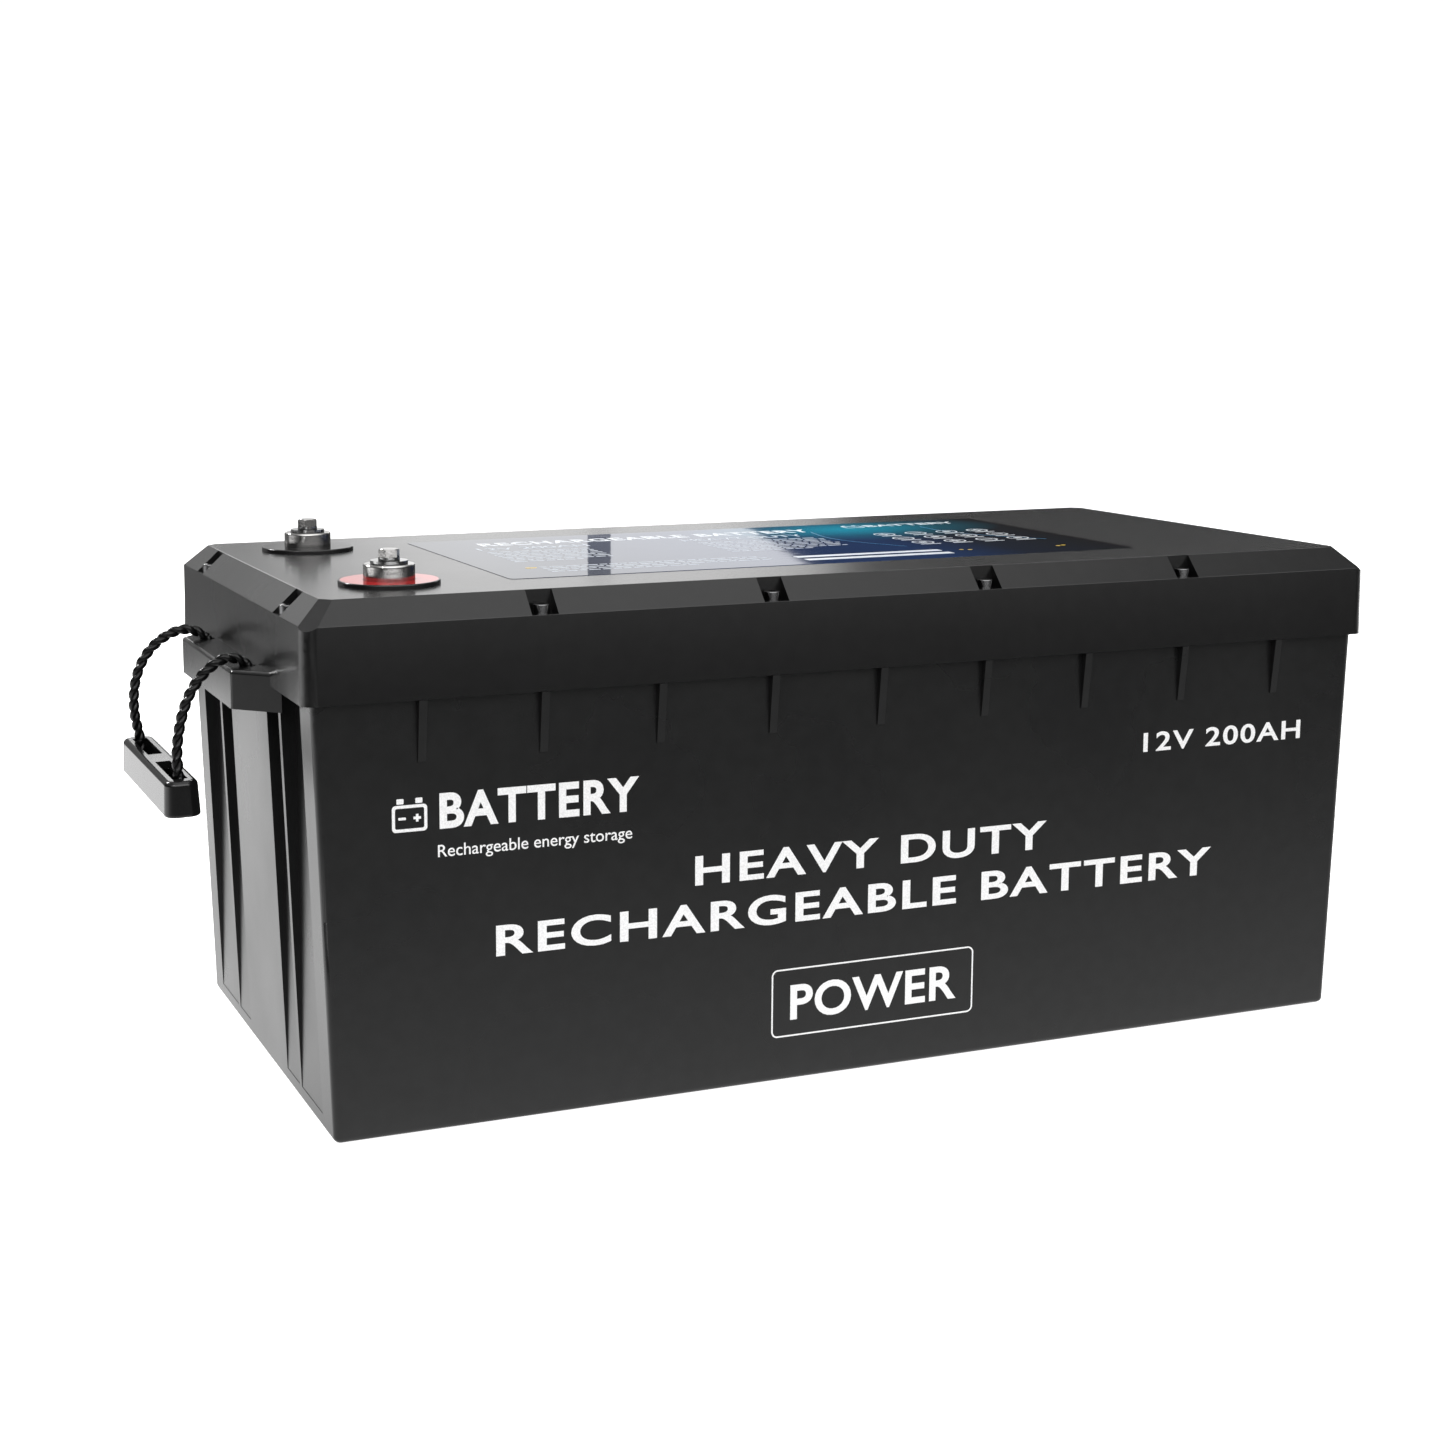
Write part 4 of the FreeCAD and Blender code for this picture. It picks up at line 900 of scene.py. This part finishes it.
def glowing_surface(name, base, strength):
    """Plain white light of this strength over a surface of this grey."""
    material = bpy.data.materials.new(name)
    material.use_nodes = True
    surface = material.node_tree.nodes["Principled BSDF"]
    surface.inputs["Base Color"].default_value = (base, base, base, 1)
    surface.inputs["Emission Color"].default_value = (1, 1, 1, 1)
    surface.inputs["Emission Strength"].default_value = strength
    return material


def make_floor():
    pale = glowing_surface("pale_floor", 0.85, 0.92)
    pale.node_tree.nodes["Principled BSDF"].inputs["Roughness"].default_value = 0.8
    camera_only(square_card("floor", (-ROOM, -ROOM, -0.0005), (ROOM, ROOM, -0.0005), pale))
    bounce = glow_material("floor_light", "Y", -3.0, 2.0, FLOOR_LIGHT)
    light_only(square_card("floor_bounce", (-2.2, -3.0, -0.001), (2.2, 2.0, -0.001), bounce))


def make_cards():
    """What the lid, its label and the metal reflect; the camera sees none of it."""
    back = glow_material("back_light", "X", -2.0, 3.0, BACK_LIGHT)
    light_only(square_card("back_card", (-2.0, BACK_Y, 0.0), (3.0, BACK_Y, 1.6), back))
    post = glow_material("post_shade", "X", 0.0, 1.0, ((0.0, 0.001), (1.0, 0.3)))
    light_only(square_card("back_post", (0.672, NEAR_BACK_Y, 0.436), (0.707, NEAR_BACK_Y, 0.506), post))
    dark = glow_material("slanted_edge_shade", "X", 0.0, 2.0, ((0.0, 0.05), (2.0, 0.03)))
    edge = [(x, 1.955, z) for x, z in ((0.856, 0.40), (1.60, 0.40), (1.60, 0.56), (1.121, 0.56))]
    light_only(corner_card("slanted_edge", edge, dark))
    over_grip = glow_material("over_grip_light", "X", -1.0, 1.0, ((-0.6, 2.2), (0.10, 2.2)))
    light_only(square_card("over_grip", (-0.06, NEAR_BACK_Y, 0.515), (0.115, NEAR_BACK_Y, 0.80), over_grip))
    high = glow_material("high_back_light", "X", -2.0, 3.0, ((-1.5, 1.3), (2.5, 1.6)))
    light_only(square_card("high_back_card", (-1.5, 1.98, 1.05), (3.0, 1.98, 1.5), high))
    above = glow_material("overhead_light", "X", -1.0, 1.4, OVERHEAD_LIGHT)
    light_only(square_card("overhead", (-0.8, -1.0, 1.35), (1.3, 0.25, 1.35), above))


def make_world():
    """A soft key light from the front and above, and a little light from all round."""
    world = bpy.data.worlds.new("studio")
    world.use_nodes = True
    tree = world.node_tree
    background = tree.nodes["Background"]
    background.inputs["Strength"].default_value = 1.0
    direction = tree.nodes.new("ShaderNodeTexCoord")
    split = tree.nodes.new("ShaderNodeSeparateXYZ")
    tree.links.new(direction.outputs["Generated"], split.inputs["Vector"])
    y, z = split.outputs["Y"], split.outputs["Z"]
    forward = scaled_ramp(tree, y, -1.0, 1.0, ((-0.75, 1.0), (-0.25, 0.0)))
    height = scaled_ramp(tree, z, -1.0, 1.0, ((0.16, 0.0), (0.34, 1.0), (0.72, 0.9), (0.86, 0.15)))
    ambient = scaled_ramp(tree, z, -1.0, 1.0, ((0.0, 0.02), (0.22, 0.06), (0.5, 0.34), (1.0, 0.34)))
    key = maths_node(tree, "MULTIPLY", forward, height)
    both = maths_node(tree, "MULTIPLY_ADD", key, KEY_STRENGTH, ambient)
    tree.links.new(both, background.inputs["Color"])
    bpy.context.scene.world = world


def make_backdrop():
    """A white dome that only the camera sees."""
    made = bmesh.new()
    bmesh.ops.create_uvsphere(made, u_segments=48, v_segments=24, radius=ROOM * 1.6)
    mesh = bpy.data.meshes.new("backdrop")
    made.to_mesh(mesh)
    made.free()
    mesh.materials.append(glowing_surface("white_backdrop", 0, 1.0))
    dome = bpy.data.objects.new("backdrop", mesh)
    bpy.context.scene.collection.objects.link(dome)
    camera_only(dome)


CAMERA_PLACE = (-0.4742, -0.9761, 0.3450)
CAMERA_AZIMUTH = -21.868  # degrees, as are the next two
CAMERA_ELEVATION = 7.756
CAMERA_ROLL = -0.088
SENSOR = 36.0  # millimetres, as is the lens
CAMERA_LENS = 55.94
CAMERA_SHIFT = (0.0786, -0.0836)


def make_camera():
    azimuth, elevation, roll = (math.radians(a) for a in (CAMERA_AZIMUTH, CAMERA_ELEVATION, CAMERA_ROLL))
    back = Vector((
        math.sin(azimuth) * math.cos(elevation),
        -math.cos(azimuth) * math.cos(elevation),
        math.sin(elevation),
    ))
    level = Vector((math.cos(azimuth), math.sin(azimuth), 0))
    upright = back.cross(level)
    right = level * math.cos(roll) + upright * math.sin(roll)
    up = upright * math.cos(roll) - level * math.sin(roll)
    data = bpy.data.cameras.new("camera")
    data.sensor_width = SENSOR
    data.lens = CAMERA_LENS
    data.shift_x, data.shift_y = CAMERA_SHIFT
    data.clip_start = 0.02
    data.clip_end = 50
    camera = bpy.data.objects.new("camera", data)
    bpy.context.scene.collection.objects.link(camera)
    turn = Matrix((right, up, back)).transposed().to_4x4()
    camera.matrix_world = Matrix.Translation(CAMERA_PLACE) @ turn
    bpy.context.scene.camera = camera


make_floor()
make_cards()
area_light("glint", (-1.3, -1.1, 1.25), (-0.28, 0.0, 0.2), 0.10, 60.0)
area_light("rim", (-1.15, 1.45, 1.45), (-0.28, 0.0, 0.19), 0.40, 60.0)
make_world()
make_backdrop()
make_camera()
bpy.context.scene.view_settings.view_transform = "Standard"
